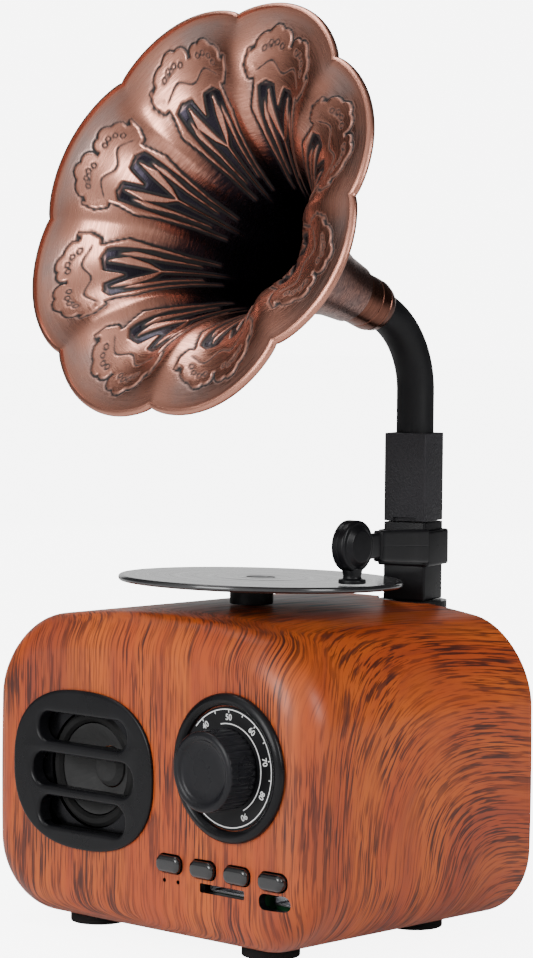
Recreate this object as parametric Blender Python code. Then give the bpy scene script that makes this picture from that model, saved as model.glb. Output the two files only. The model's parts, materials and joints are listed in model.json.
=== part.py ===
"""Desk loudspeaker shaped like a small horn gramophone.

Rounded cabinet with a driver, controls and battery inside, a record on a pedestal, and a
swivelling post that carries the tonearm, the bent pipe and the eight-lobed horn.
Millimetres are used for the constants; every shape is turned into metres when it is built.
The origin is on the table, under the middle of the whole object; -Y is the front and +Z is up.
The shapes are drawn about the middle of the cabinet and moved to the origin at the end.
"""

import math

import bmesh
import bpy
from mathutils import Matrix, Vector

MM = 0.001
GAP = 0.3
ORIGIN = (5.95, -0.7)

# Cabinet
CAB_WIDTH = 128.7
CAB_HEIGHT = 85.5
CAB_DEPTH = 99.0
CAB_BOTTOM = 3.3
CAB_TOP_RADIUS = 21.4
CAB_LOW_RADIUS = 21.5
CAB_TOP_CROWN = 6.9
CAB_SIDE_BULGE = 1.0
CAB_FRONT_FILLET = 11.1
CAB_BACK_CHAMFER = 0.9
CAB_WALL = 2.5
CAB_CORNER_STEPS = 6
CAB_FACET = 16.0
CAB_FRONT = -CAB_DEPTH / 2
CAB_BACK = CAB_DEPTH / 2
CAB_MIDDLE = CAB_BOTTOM + CAB_HEIGHT / 2
CAB_TOP = CAB_BOTTOM + CAB_HEIGHT + CAB_TOP_CROWN
PANEL_BACK = CAB_FRONT + CAB_WALL

# Back cover and its screws
COVER_FRONT = 46.9
COVER_BACK = 49.9
COVER_INSET = CAB_WALL + GAP
BOSS_X = 53.5
BOSS_LOW = 14.4
BOSS_HIGH = 78.6
BOSS_RADIUS = 5.6
BOSS_LENGTH = 16.0
SCREW_SHANK = 1.0
SCREW_HEAD = 2.7
SCREW_HEAD_HEIGHT = 1.5
VENT_COUNT = 6
VENT_PITCH = 5.0

# Feet
FOOT_X = 35.5
FOOT_Y = 31.0
FOOT_RADIUS = 8.4
FOOT_STUD = 2.0

# Grille and driver
GRILLE_X = -22.9
GRILLE_Z = 48.55
GRILLE_WIDTH = 58.6
GRILLE_HEIGHT = 46.7
GRILLE_POWER = 2.45
GRILLE_PROUD = 1.1
GRILLE_THICK = 3.4
GRILLE_FLANGE = 3.2
SLOTS = ((60.1, 18.7, 4.35), (47.5, 21.2, 4.9), (35.25, 18.1, 4.5))
DRIVER_RADIUS = 22.0
DRIVER_FRONT = -44.9

# Dial, knob and potentiometer
DIAL_X = 36.7
DIAL_Z = 55.65
BEZEL_OUTER = 21.1
BEZEL_INNER = 17.7
DIAL_FACE_RADIUS = 17.4
KNOB_RADIUS = 11.4
KNOB_FRONT = CAB_FRONT - 11.6
KNOB_BACK = CAB_FRONT - 1.2
KNOB_FLUTES = 24
SHAFT_RADIUS = 3.0

# Keys, ports and board
KEY_FIRST_X = 13.3
KEY_PITCH = 13.35
KEY_COUNT = 4
KEY_Z = 25.75
KEY_HOLE = (10.0, 5.7)
KEY_CAP = (9.2, 4.9)
KEY_PROUD = 1.9
KEY_FLANGE = PANEL_BACK + 1.2
BOARD_FRONT = -40.4
BOARD_THICK = 1.6
SLOT_X = 33.9
SLOT_Z = 20.5
SLOT_SIZE = (17.4, 2.5)
USB_X = 53.5
USB_Z = 19.9
USB_SIZE = (10.6, 4.6)
PIN_HOLES = (11.0, 16.45)
PIN_HOLE_Z = 20.8
PIN_HOLE_RADIUS = 0.6

# Battery and leads
BATTERY_RADIUS = 9.0
BATTERY_LENGTH = 65.0
BATTERY_Y = 14.0
BATTERY_Z = 17.6
LEAD_RADIUS = 0.8

# Record and pedestal
PEDESTAL = (-1.6, -1.5)
PEDESTAL_RADIUS = 6.5
PEDESTAL_TOP = 101.5
RECORD_CENTRE = (0.7, 0.0)
RECORD_TOP = 103.96
RECORD_RADIUS = 42.3
RECORD_THICK = 1.8
RECORD_TILT = math.radians(-1.5)
RECORD_HOLE = 2.2
PIN_RADIUS = 1.6

# Post, its socket and the horn socket
POST = (14.4, 52.9)
POST_YAW = math.radians(17.0)
POST_SIDE = 13.8
POST_FOOT = 95.2
POST_SHOULDER = 118.9
POST_SPIGOT = 6.0
POST_SPIGOT_LOW = 70.6
POST_TENON = 4.6
POST_TENON_TOP = 126.0
SOCKET_RADIUS = 10.5
SOCKET_LOW = 64.0
SOCKET_HIGH = 94.9
SOCKET_FLANGE = (38.0, 2.0, 14.0)
SLEEVE_LOW = 119.2
SLEEVE_HIGH = 145.9

# Tonearm, in the frame of the post
RING_HALF = 8.5
RING_HOLE_HALF = 7.2
RING_LOW = 105.7
RING_HIGH = 116.5
BAR_INNER = 5.4
BAR_FRONT = -41.3
BAR_LOW_Z = (105.7, 109.7)
BAR_HIGH_Z = (116.3, 118.8)
HEAD = (35.9, 1.4, 114.9)
HEAD_YAW = math.radians(5.3)
HEAD_RADIUS = 7.8
HEAD_THICK = 4.9
HEAD_BOSS = 6.1
HEAD_BOSS_PROUD = 1.0
STYLUS_LOW = 104.3
STYLUS_FLANGE = 4.0
STYLUS_NECK = 3.0

# Horn and pipe
HORN_X = 14.4
PIPE_Y = 53.2
PIPE_RADIUS = 5.7
PIPE_BORE = 4.3
PIPE_LOW = 131.4
HORN_RISE = math.radians(20.0)
HORN_TWIST = math.radians(3.0)
HORN_START = (HORN_X, 35.8, 183.5)
HORN_LENGTH = 83.5
HORN_SHEET = 0.9
HORN_LOBES = 8
LOBE_DEPTH = 4.5
LOBE_POWER = 0.75
RIM_BEAD = 1.1
FERRULE_END = 13.7
PIPE_INTO_FERRULE = 8.0
HORN_SEGMENTS = 64
HORN_PROFILE = (
    (14.0, 8.05),
    (19.0, 8.4),
    (25.0, 10.0),
    (40.0, 14.8),
    (52.0, 19.8),
    (64.0, 26.6),
    (72.0, 32.8),
    (77.0, 38.8),
    (80.3, 45.6),
    (82.2, 52.0),
    (83.3, 58.2),
)

COLOURS = {
    "wood": ((0.42, 0.13, 0.06), 0.35, 0.0),
    "black": ((0.02, 0.02, 0.022), 0.45, 0.0),
    "gloss": ((0.012, 0.012, 0.014), 0.15, 0.0),
    "rubber": ((0.015, 0.015, 0.015), 0.85, 0.0),
    "steel": ((0.55, 0.56, 0.58), 0.3, 1.0),
    "copper": ((0.45, 0.2, 0.13), 0.3, 1.0),
    "board": ((0.02, 0.12, 0.05), 0.5, 0.0),
    "paper": ((0.03, 0.03, 0.03), 0.9, 0.0),
    "cell": ((0.05, 0.12, 0.35), 0.4, 0.0),
    "wire": ((0.4, 0.02, 0.02), 0.5, 0.0),
}


def clear_scene():
    """Remove every object of the start-up scene."""
    for obj in list(bpy.data.objects):
        bpy.data.objects.remove(obj)


def material(name, finish):
    """A plain Principled material of one of the finishes."""
    colour, roughness, metallic = COLOURS[finish]
    made = bpy.data.materials.new(name)
    made.use_nodes = True
    shader = made.node_tree.nodes["Principled BSDF"]
    shader.inputs["Base Color"].default_value = (*colour, 1.0)
    shader.inputs["Roughness"].default_value = roughness
    shader.inputs["Metallic"].default_value = metallic
    return made


def finish_mesh(name, bm, finish=None, place=None, smooth=True):
    """Turn a bmesh in millimetres into a linked object in metres; no finish makes a cutter."""
    bmesh.ops.recalc_face_normals(bm, faces=bm.faces)
    mesh = bpy.data.meshes.new(name)
    for vert in bm.verts:
        vert.co *= MM
    bm.to_mesh(mesh)
    bm.free()
    obj = bpy.data.objects.new(name, mesh)
    bpy.context.scene.collection.objects.link(obj)
    if place is not None:
        obj.matrix_world = in_metres(place)
    if finish is None:
        obj.hide_render = True
        obj.display_type = "WIRE"
        return obj
    mesh.materials.append(material(name, finish))
    if smooth:
        mesh.shade_smooth()
        mesh.set_sharp_from_angle(angle=math.radians(35.0))
    return obj


def in_metres(matrix):
    """The same placement with its translation in metres."""
    moved = matrix.copy()
    moved.translation = matrix.translation * MM
    return moved


def at(x, y, z):
    """A placement that only moves."""
    return Matrix.Translation((x, y, z))


def facing_front(x, y, z):
    """A placement whose local +Z points to the front, -Y."""
    return at(x, y, z) @ Matrix.Rotation(math.radians(90.0), 4, "X")


def turned(x, y, z, angle):
    """A placement turned about the upright axis."""
    return at(x, y, z) @ Matrix.Rotation(angle, 4, "Z")


def loft(bm, rings, cap_first, cap_last, join_ends=False):
    """Skin equal rings of points; the ends are capped or joined to each other."""
    rows = [[bm.verts.new(point) for point in ring] for ring in rings]
    pairs = list(zip(rows[:-1], rows[1:]))
    if join_ends:
        pairs.append((rows[-1], rows[0]))
    for low, high in pairs:
        for i in range(len(low)):
            j = (i + 1) % len(low)
            bm.faces.new((low[i], low[j], high[j], high[i]))
    if cap_first:
        bm.faces.new(rows[0][::-1])
    if cap_last:
        bm.faces.new(rows[-1])


def circle(radius, z, count):
    """Points of a circle at one height."""
    step = math.tau / count
    return [Vector((radius * math.cos(i * step), radius * math.sin(i * step), z)) for i in range(count)]


def turned_solid(name, profile, finish, place, count=48, ring=False):
    """Solid of revolution from (radius, height) pairs; ring joins the last pair to the first."""
    bm = bmesh.new()
    rings = [circle(radius, z, count) for radius, z in profile]
    loft(bm, rings, not ring, not ring, join_ends=ring)
    return finish_mesh(name, bm, finish, place)


def add_box(bm, size, centre):
    """Add a box to a bmesh and return its vertices."""
    made = bmesh.ops.create_cube(bm, size=1.0)["verts"]
    for vert in made:
        vert.co = Vector(vert.co[i] * size[i] + centre[i] for i in range(3))
    return made


def box(name, size, centre, finish, place=None, bevel=0.0, segments=2):
    """A box with all its edges rounded."""
    bm = bmesh.new()
    add_box(bm, size, centre)
    if bevel > 0.0:
        bmesh.ops.bevel(bm, geom=bm.edges[:], offset=bevel, segments=segments, affect="EDGES", profile=0.5)
    return finish_mesh(name, bm, finish, place)


def rounded_outline(width, height, radius, steps=6):
    """Rounded rectangle, counter-clockwise, centred on the origin."""
    points = []
    corners = ((1, 1, 0.0), (-1, 1, 0.5), (-1, -1, 1.0), (1, -1, 1.5))
    for sx, sz, start in corners:
        for i in range(steps + 1):
            angle = math.pi * (start + 0.5 * i / steps)
            x = sx * (width / 2 - radius) + radius * math.cos(angle)
            z = sz * (height / 2 - radius) + radius * math.sin(angle)
            points.append((x, z))
    return points


def superellipse(width, height, power, count=48):
    """Outline |x/a|^n + |z/b|^n = 1."""
    points = []
    for i in range(count):
        angle = math.tau * i / count
        c, s = math.cos(angle), math.sin(angle)
        x = math.copysign(abs(c) ** (2.0 / power), c) * width / 2
        z = math.copysign(abs(s) ** (2.0 / power), s) * height / 2
        points.append((x, z))
    return points


def scaled_outline(points, inset):
    """Pull an outline towards its middle by about the inset on each side."""
    half_x = max(x for x, _ in points)
    half_z = max(z for _, z in points)
    return [(x * (half_x - inset) / half_x, z * (half_z - inset) / half_z) for x, z in points]


def add_prism(bm, outline, x0, z0, y_from, y_to):
    """Add a prism along Y whose outline lies in X and Z."""
    rings = [[Vector((x0 + x, y, z0 + z)) for x, z in outline] for y in (y_from, y_to)]
    loft(bm, rings, True, True)


def add_cylinder(bm, radius, centre, low, high, axis="Z", count=32):
    """Add a cylinder along Z or Y; centre holds the other two coordinates."""
    rings = []
    for level in (low, high):
        if axis == "Z":
            rings.append([Vector((centre[0] + p.x, centre[1] + p.y, level)) for p in circle(radius, 0.0, count)])
        else:
            rings.append([Vector((centre[0] + p.x, level, centre[1] + p.y)) for p in circle(radius, 0.0, count)])
    loft(bm, rings, True, True)


def boolean(target, cutter, operation="DIFFERENCE"):
    """Cut or join with the exact solver."""
    step = target.modifiers.new(cutter.name, "BOOLEAN")
    step.operation = operation
    step.solver = "EXACT"
    step.object = cutter


def cabinet_profile(inset):
    """Cross-section of the cabinet seen from the front, pulled in by the inset."""
    flat = []
    corners = ((1, 1, 0.0), (-1, 1, 0.5), (-1, -1, 1.0), (1, -1, 1.5))
    for sx, sz, start in corners:
        radius = CAB_TOP_RADIUS if sz > 0 else CAB_LOW_RADIUS
        for i in range(CAB_CORNER_STEPS + 1):
            angle = math.pi * (start + 0.5 * i / CAB_CORNER_STEPS)
            c, s = math.cos(angle), math.sin(angle)
            x = sx * (CAB_WIDTH / 2 - radius) + radius * c
            z = sz * (CAB_HEIGHT / 2 - radius) + radius * s
            flat.append((x, z, c, s))
    full = []
    for i, first in enumerate(flat):
        second = flat[(i + 1) % len(flat)]
        length = math.hypot(second[0] - first[0], second[1] - first[1])
        parts = max(1, int(length // CAB_FACET))
        for k in range(parts):
            full.append([a + (b - a) * k / parts for a, b in zip(first, second)])
    return [bulged(x, z, c, s, inset) for x, z, c, s in full]


def bulged(x, z, c, s, inset):
    """Add the crown of the top and the bulge of the sides to one profile point."""
    across, along = 2.0 * x / CAB_WIDTH, 2.0 * z / CAB_HEIGHT
    crown = CAB_TOP_CROWN if z > 0 else 0.0
    new_z = z + crown * (1.0 - across**2) * along
    new_x = x + CAB_SIDE_BULGE * (1.0 - along**2) * across
    return new_x - inset * c, CAB_MIDDLE + new_z - inset * s


def cabinet_body(name, inset, back, chamfer, finish):
    """Closed cabinet shape with a rounded front edge, pulled in by the inset."""
    bm = bmesh.new()
    fillet = CAB_FRONT_FILLET - inset
    rings = []
    for i in range(6):
        angle = math.pi / 2 * (1.0 - i / 5)
        y = CAB_FRONT + inset + fillet * (1.0 - math.sin(angle))
        ring = cabinet_profile(inset + fillet * (1.0 - math.cos(angle)))
        rings.append([Vector((x, y, z)) for x, z in ring])
    rings.append([Vector((x, back - chamfer, z)) for x, z in cabinet_profile(inset)])
    if chamfer > 0.0:
        rings.append([Vector((x, back, z)) for x, z in cabinet_profile(inset + chamfer)])
    loft(bm, rings, True, True)
    return finish_mesh(name, bm, finish)


def foot_places():
    """The four foot centres, front left first."""
    return [(sx * FOOT_X, sy * FOOT_Y) for sy in (-1, 1) for sx in (-1, 1)]


def boss_places():
    """The four cover screw places in X and Z."""
    return [(sx * BOSS_X, z) for z in (BOSS_LOW, BOSS_HIGH) for sx in (-1, 1)]


def key_places():
    """The X of each key."""
    return [KEY_FIRST_X + i * KEY_PITCH for i in range(KEY_COUNT)]


def front_cutter():
    """Every hole of the front panel."""
    bm = bmesh.new()
    low, high = CAB_FRONT - 2.0, PANEL_BACK + 2.0
    opening = superellipse(GRILLE_WIDTH - 2 * GRILLE_FLANGE, GRILLE_HEIGHT - 2 * GRILLE_FLANGE, GRILLE_POWER, 40)
    add_prism(bm, opening, GRILLE_X, GRILLE_Z, low, high)
    add_cylinder(bm, DIAL_FACE_RADIUS - 0.4, (DIAL_X, DIAL_Z), low, high, "Y", 36)
    for x in key_places():
        add_prism(bm, rounded_outline(*KEY_HOLE, 2.4, 3), x, KEY_Z, low, high)
    for x in PIN_HOLES:
        add_cylinder(bm, PIN_HOLE_RADIUS, (x, PIN_HOLE_Z), low, high, "Y", 12)
    add_prism(bm, rounded_outline(*SLOT_SIZE, 0.4, 2), SLOT_X, SLOT_Z, low, high)
    add_prism(bm, rounded_outline(*USB_SIZE, 2.1, 4), USB_X, USB_Z, low, high)
    return finish_mesh("cut_front", bm)


def shell_cutter():
    """Foot stud holes, the pedestal hole and the notch for the post socket."""
    bm = bmesh.new()
    for x, y in foot_places():
        add_cylinder(bm, FOOT_STUD + GAP, (x, y), CAB_BOTTOM - 1.0, CAB_BOTTOM + 5.0, "Z", 12)
    add_cylinder(bm, 2.0 + GAP, PEDESTAL, CAB_TOP - 8.0, CAB_TOP + 3.0, "Z", 16)
    add_cylinder(bm, SOCKET_RADIUS + GAP, POST, 60.0, CAB_TOP + 3.0, "Z", 40)
    return finish_mesh("cut_shell", bm)


def boss_join():
    """The four screw pillars of the back cover."""
    bm = bmesh.new()
    for x, z in boss_places():
        add_cylinder(bm, BOSS_RADIUS, (x, z), COVER_FRONT - GAP - BOSS_LENGTH, COVER_FRONT - GAP, "Y", 16)
    return finish_mesh("join_bosses", bm)


def boss_cutter():
    """The pilot holes of the screw pillars."""
    bm = bmesh.new()
    for x, z in boss_places():
        add_cylinder(bm, SCREW_SHANK + GAP, (x, z), COVER_FRONT - 12.0, COVER_FRONT + 1.0, "Y", 10)
    return finish_mesh("cut_bosses", bm)


def build_cabinet():
    """The wood-film shell with its openings and screw pillars."""
    shell = cabinet_body("cabinet_shell", 0.0, CAB_BACK, CAB_BACK_CHAMFER, "wood")
    boolean(shell, cabinet_body("cut_inside", CAB_WALL, CAB_BACK + 5.0, 0.0, None))
    boolean(shell, boss_join(), "UNION")
    boolean(shell, boss_cutter())
    boolean(shell, front_cutter())
    boolean(shell, shell_cutter())


def cover_cutter():
    """Screw holes, vents and the notch of the back cover."""
    bm = bmesh.new()
    low, high = COVER_FRONT - 2.0, COVER_BACK + 2.0
    for x, z in boss_places():
        add_cylinder(bm, SCREW_SHANK + GAP, (x, z), low, high, "Y", 10)
    for i in range(VENT_COUNT):
        z = 24.0 + i * VENT_PITCH
        add_prism(bm, rounded_outline(34.0, 2.0, 0.99, 2), GRILLE_X, z, low, high)
    for side in (-1, 1):
        add_cylinder(bm, SCREW_SHANK + GAP, (POST[0] + side * 15.0, flange_z()), low, high, "Y", 10)
    add_cylinder(bm, SOCKET_RADIUS + GAP, POST, SOCKET_LOW - GAP, CAB_TOP + 3.0, "Z", 40)
    return finish_mesh("cut_cover", bm)


def flange_z():
    """Middle height of the post socket's flange."""
    return SOCKET_LOW + SOCKET_FLANGE[2] / 2 + 1.0


def build_cover():
    """The black back cover."""
    bm = bmesh.new()
    levels = ((COVER_FRONT, 0.0), (COVER_BACK - 0.6, 0.0), (COVER_BACK, 0.6))
    rings = []
    for y, more in levels:
        rings.append([Vector((x, y, z)) for x, z in cabinet_profile(COVER_INSET + more)])
    loft(bm, rings, True, True)
    cover = finish_mesh("back_cover", bm, "black")
    boolean(cover, cover_cutter())


def build_screw(name, x, z, y):
    """Pan-head screw whose head sits on the face at y and whose shank points to the front."""
    profile = (
        (SCREW_SHANK, -9.0),
        (SCREW_SHANK, GAP),
        (SCREW_HEAD, GAP),
        (SCREW_HEAD, GAP + 0.8),
        (SCREW_HEAD * 0.6, GAP + SCREW_HEAD_HEIGHT),
    )
    back = at(x, y, z) @ Matrix.Rotation(math.radians(-90.0), 4, "X")
    turned_solid(name, profile, "steel", back, 12)


def build_screws():
    """Cover screws and post socket screws."""
    for i, (x, z) in enumerate(boss_places()):
        build_screw(f"cover_screw_{i + 1}", x, z, COVER_BACK)
    outer = COVER_BACK + GAP + SOCKET_FLANGE[1]
    for i, side in enumerate((-1, 1)):
        build_screw(f"socket_screw_{i + 1}", POST[0] + side * 15.0, flange_z(), outer)


def build_feet():
    """Round rubber feet with a stud through the cabinet floor."""
    top = CAB_BOTTOM - 0.1
    profile = (
        (FOOT_RADIUS - 0.6, 0.0),
        (FOOT_RADIUS, 0.6),
        (FOOT_RADIUS, top),
        (FOOT_STUD, top),
        (FOOT_STUD, top + 4.5),
    )
    for i, (x, y) in enumerate(foot_places()):
        turned_solid(f"foot_{i + 1}", profile, "rubber", at(x, y, 0.0), 24)


def build_grille():
    """Grille plate with a rounded edge, a plug into the panel and three slots."""
    bm = bmesh.new()
    outer = superellipse(GRILLE_WIDTH, GRILLE_HEIGHT, GRILLE_POWER)
    front = CAB_FRONT - GRILLE_PROUD
    plug = GRILLE_FLANGE + 0.4
    levels = (
        (front, 1.4),
        (front + 0.5, 0.3),
        (CAB_FRONT - 0.1, 0.0),
        (CAB_FRONT - 0.1, plug),
        (CAB_FRONT + GRILLE_THICK, plug),
    )
    rings = []
    for y, inset in levels:
        rings.append([Vector((GRILLE_X + x, y, GRILLE_Z + z)) for x, z in scaled_outline(outer, inset)])
    loft(bm, rings, True, True)
    grille = finish_mesh("grille", bm, "black")
    cut = bmesh.new()
    for z, half_width, half_height in SLOTS:
        outline = rounded_outline(2 * half_width, 2 * half_height, half_height * 0.96, 5)
        add_prism(cut, outline, GRILLE_X, z, front - 1.0, CAB_FRONT + GRILLE_THICK + 1.0)
    boolean(grille, finish_mesh("cut_grille", cut))


def build_driver():
    """Full-range driver behind the grille: basket, surround, cone, coil, cap and magnet."""
    place = at(GRILLE_X, DRIVER_FRONT, GRILLE_Z) @ Matrix.Rotation(math.radians(-90.0), 4, "X")
    basket = (
        (DRIVER_RADIUS, -0.9),
        (DRIVER_RADIUS, 2.0),
        (DRIVER_RADIUS - 3.0, 2.6),
        (12.0, 13.0),
        (12.0, 14.5),
        (8.5, 14.5),
        (8.5, 12.0),
        (DRIVER_RADIUS - 4.6, 1.4),
        (DRIVER_RADIUS - 4.6, -0.9),
    )
    turned_solid("speaker_basket", basket, "steel", place, 36, ring=True)
    surround = ((17.0, -0.2), (16.0, -0.9), (14.6, -0.9), (13.8, 0.1), (13.8, 0.6), (17.0, 0.6))
    turned_solid("speaker_surround", surround, "rubber", place, 36, ring=True)
    cone = ((13.4, 0.2), (13.4, 0.7), (6.6, 6.9), (6.2, 6.4))
    turned_solid("speaker_cone", cone, "paper", place, 36, ring=True)
    coil = ((6.6, 7.3), (6.6, 14.2), (6.0, 14.2), (6.0, 7.3))
    turned_solid("voice_coil", coil, "copper", place, 24, ring=True)
    cap = ((5.8, 6.6), (5.8, 6.0), (4.2, 4.4), (1.2, 3.6))
    turned_solid("speaker_cap", cap[::-1], "gloss", place, 24)
    magnet = ((11.4, 14.8), (11.4, 22.6), (11.0, 23.0))
    turned_solid("speaker_magnet", magnet, "steel", place, 32)


def build_dial():
    """Bezel, printed face, potentiometer and its nut."""
    place = facing_front(DIAL_X, CAB_FRONT, DIAL_Z)
    bezel = (
        (BEZEL_OUTER, 0.1),
        (BEZEL_OUTER, 1.0),
        (BEZEL_OUTER - 1.2, 2.2),
        (BEZEL_INNER + 1.2, 2.2),
        (BEZEL_INNER, 1.2),
        (BEZEL_INNER, 0.1),
    )
    turned_solid("dial_bezel", bezel, "gloss", place, 48, ring=True)
    face = (
        (4.4, 0.1),
        (4.4, 0.7),
        (DIAL_FACE_RADIUS, 0.7),
        (DIAL_FACE_RADIUS, 0.1),
    )
    turned_solid("dial_face", face[::-1], "black", place, 48, ring=True)
    nut = ((3.7, -2.0), (3.7, -0.2), (7.4, -0.2), (7.4, -2.0))
    turned_solid("pot_nut", nut[::-1], "steel", place, 24, ring=True)
    body = ((3.4, -2.6), (8.4, -2.6), (8.4, -8.6), (3.4, -8.6))
    turned_solid("pot_body", body[::-1], "steel", place, 32, ring=True)


def knob_ring(radius, depth, z):
    """Fluted ring of the knob."""
    points = []
    for i in range(KNOB_FLUTES * 2):
        angle = math.tau * i / (KNOB_FLUTES * 2)
        r = radius - depth * (i % 2)
        points.append(Vector((r * math.cos(angle), r * math.sin(angle), z)))
    return points


def build_knob():
    """Fluted knob with a dished face, and the shaft that turns with it."""
    height = KNOB_BACK - KNOB_FRONT
    bm = bmesh.new()
    levels = (
        (3.3, 0.0, 6.0),
        (3.3, 0.0, 0.0),
        (KNOB_RADIUS, 0.35, 0.0),
        (KNOB_RADIUS - 0.2, 0.35, height - 1.4),
        (KNOB_RADIUS - 0.9, 0.05, height - 0.2),
        (KNOB_RADIUS - 1.6, 0.0, height),
        (KNOB_RADIUS - 2.8, 0.0, height - 0.9),
        (1.0, 0.0, height - 1.4),
    )
    loft(bm, [knob_ring(*level) for level in levels], True, True)
    finish_mesh("knob", bm, "black", facing_front(DIAL_X, KNOB_BACK, DIAL_Z))
    length = KNOB_BACK - CAB_FRONT
    profile = ((SHAFT_RADIUS, -8.4), (SHAFT_RADIUS, 5.4 - length), (SHAFT_RADIUS - 0.3, 5.7 - length))
    turned_solid("pot_shaft", profile, "steel", facing_front(DIAL_X, CAB_FRONT, DIAL_Z), 24)


def build_keys():
    """Domed key caps, each with a wider flange behind the panel."""
    for i, x in enumerate(key_places()):
        bm = bmesh.new()
        cap = rounded_outline(*KEY_CAP, 2.1, 3)
        wide = rounded_outline(KEY_CAP[0] - 0.4, KEY_HOLE[1] + 1.4, 2.4, 3)
        levels = (
            (cap, CAB_FRONT - KEY_PROUD, 0.8),
            (cap, CAB_FRONT - KEY_PROUD + 0.7, 0.0),
            (cap, KEY_FLANGE, 0.0),
            (wide, KEY_FLANGE, 0.0),
            (wide, KEY_FLANGE + 1.2, 0.0),
            (cap, KEY_FLANGE + 1.2, 1.6),
            (cap, BOARD_FRONT - 3.3, 1.6),
        )
        rings = []
        for outline, y, inset in levels:
            rings.append([Vector((px, y - CAB_FRONT, pz)) for px, pz in scaled_outline(outline, inset)])
        loft(bm, rings, True, True)
        finish_mesh(f"key_{i + 1}", bm, "gloss", at(x, CAB_FRONT, KEY_Z))


def build_electronics():
    """Board with its switches, card socket and charging socket."""
    box("control_board", (53.2, BOARD_THICK, 20.0), (30.6, BOARD_FRONT + BOARD_THICK / 2, 23.6), "board")
    for i, x in enumerate(key_places()):
        bm = bmesh.new()
        add_box(bm, (6.0, 1.5, 4.6), (x, BOARD_FRONT - 0.95, KEY_Z))
        switch = finish_mesh(f"tact_switch_{i + 1}", bm, "steel", smooth=False)
        button = bmesh.new()
        add_cylinder(button, 1.5, (x, KEY_Z), BOARD_FRONT - 2.4, BOARD_FRONT - 1.2, "Y", 16)
        boolean(switch, finish_mesh(f"join_switch_{i + 1}", button), "UNION")
    for name, x, radius in (("status_light", PIN_HOLES[0], 1.2), ("microphone", PIN_HOLES[1], 1.3)):
        profile = ((radius, GAP), (radius, BOARD_FRONT - PANEL_BACK - 2 * GAP))
        place = at(x, PANEL_BACK, PIN_HOLE_Z) @ Matrix.Rotation(math.radians(-90.0), 4, "X")
        turned_solid(name, profile, "gloss", place, 16)
    build_socket("card_socket", (SLOT_X, SLOT_Z), (15.0, 2.4), (12.4, 1.2), PANEL_BACK + 0.6)
    build_socket("usb_socket", (USB_X, USB_Z), (8.0, 3.2), (7.0, 2.2), PANEL_BACK + 2.6)


def build_socket(name, middle, outer, inner, front):
    """Metal socket shell, open to the front and fixed to the board."""
    bm = bmesh.new()
    back = BOARD_FRONT - 0.2
    add_prism(bm, rounded_outline(*outer, 0.8, 3), *middle, front, back)
    socket = finish_mesh(name, bm, "steel")
    cut = bmesh.new()
    add_prism(cut, rounded_outline(*inner, 0.5, 3), *middle, front - 1.0, back - 0.6)
    boolean(socket, finish_mesh(f"cut_{name}", cut))


def build_battery():
    """Round cell lying in a cradle on the cabinet floor."""
    along = at(0.0, BATTERY_Y, BATTERY_Z) @ Matrix.Rotation(math.radians(90.0), 4, "Y")
    half = BATTERY_LENGTH / 2
    cell = (
        (BATTERY_RADIUS - 0.5, -half),
        (BATTERY_RADIUS, -half + 0.6),
        (BATTERY_RADIUS, half - 0.6),
        (BATTERY_RADIUS - 0.5, half),
        (3.0, half),
        (3.0, half + 0.9),
    )
    turned_solid("battery", cell, "cell", along, 28)
    floor = CAB_BOTTOM + CAB_WALL + GAP
    height = 9.0
    size = (BATTERY_LENGTH + 8.0, 2 * BATTERY_RADIUS + 6.0, height)
    cradle = box("battery_cradle", size, (0.0, BATTERY_Y, floor + height / 2), "black", bevel=0.6, segments=1)
    cut = bmesh.new()
    add_box(cut, (BATTERY_LENGTH + 3.4, 2 * BATTERY_RADIUS + 0.8, 12.0), (0.0, BATTERY_Y, floor + 8.2))
    boolean(cradle, finish_mesh("cut_cradle", cut))


def lead(name, points, finish):
    """A smooth insulated lead through the points."""
    curve = bpy.data.curves.new(name, "CURVE")
    curve.dimensions = "3D"
    curve.bevel_depth = LEAD_RADIUS * MM
    curve.bevel_resolution = 1
    curve.resolution_u = 3
    curve.use_fill_caps = True
    spline = curve.splines.new("BEZIER")
    spline.bezier_points.add(len(points) - 1)
    for knot, point in zip(spline.bezier_points, points):
        knot.co = Vector(point) * MM
        knot.handle_left_type = "AUTO"
        knot.handle_right_type = "AUTO"
    obj = bpy.data.objects.new(name, curve)
    curve.materials.append(material(name, finish))
    bpy.context.scene.collection.objects.link(obj)


def build_leads():
    """Leads from the board to the driver and to the battery."""
    board_back = BOARD_FRONT + BOARD_THICK + GAP
    driver_back = DRIVER_FRONT + 23.0
    lead("speaker_lead", (
        (8.0, board_back + 0.9, 30.0),
        (4.0, board_back + 8.0, 34.0),
        (-8.0, driver_back + 3.0, 42.0),
        (GRILLE_X + 4.0, driver_back + 1.2, GRILLE_Z),
    ), "wire")
    lead("battery_lead", (
        (20.0, board_back + 0.9, 14.0),
        (24.0, board_back + 9.0, 12.0),
        (36.0, -8.0, 16.0),
        (41.0, 6.0, 24.0),
        (39.5, BATTERY_Y, BATTERY_Z + 2.0),
        (BATTERY_LENGTH / 2 + 2.2, BATTERY_Y, BATTERY_Z),
    ), "wire")


def record_place():
    """The record's own frame: it sits slightly askew on its pedestal."""
    place = at(RECORD_CENTRE[0], RECORD_CENTRE[1], RECORD_TOP)
    return place @ Matrix.Rotation(RECORD_TILT, 4, "X")


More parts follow.
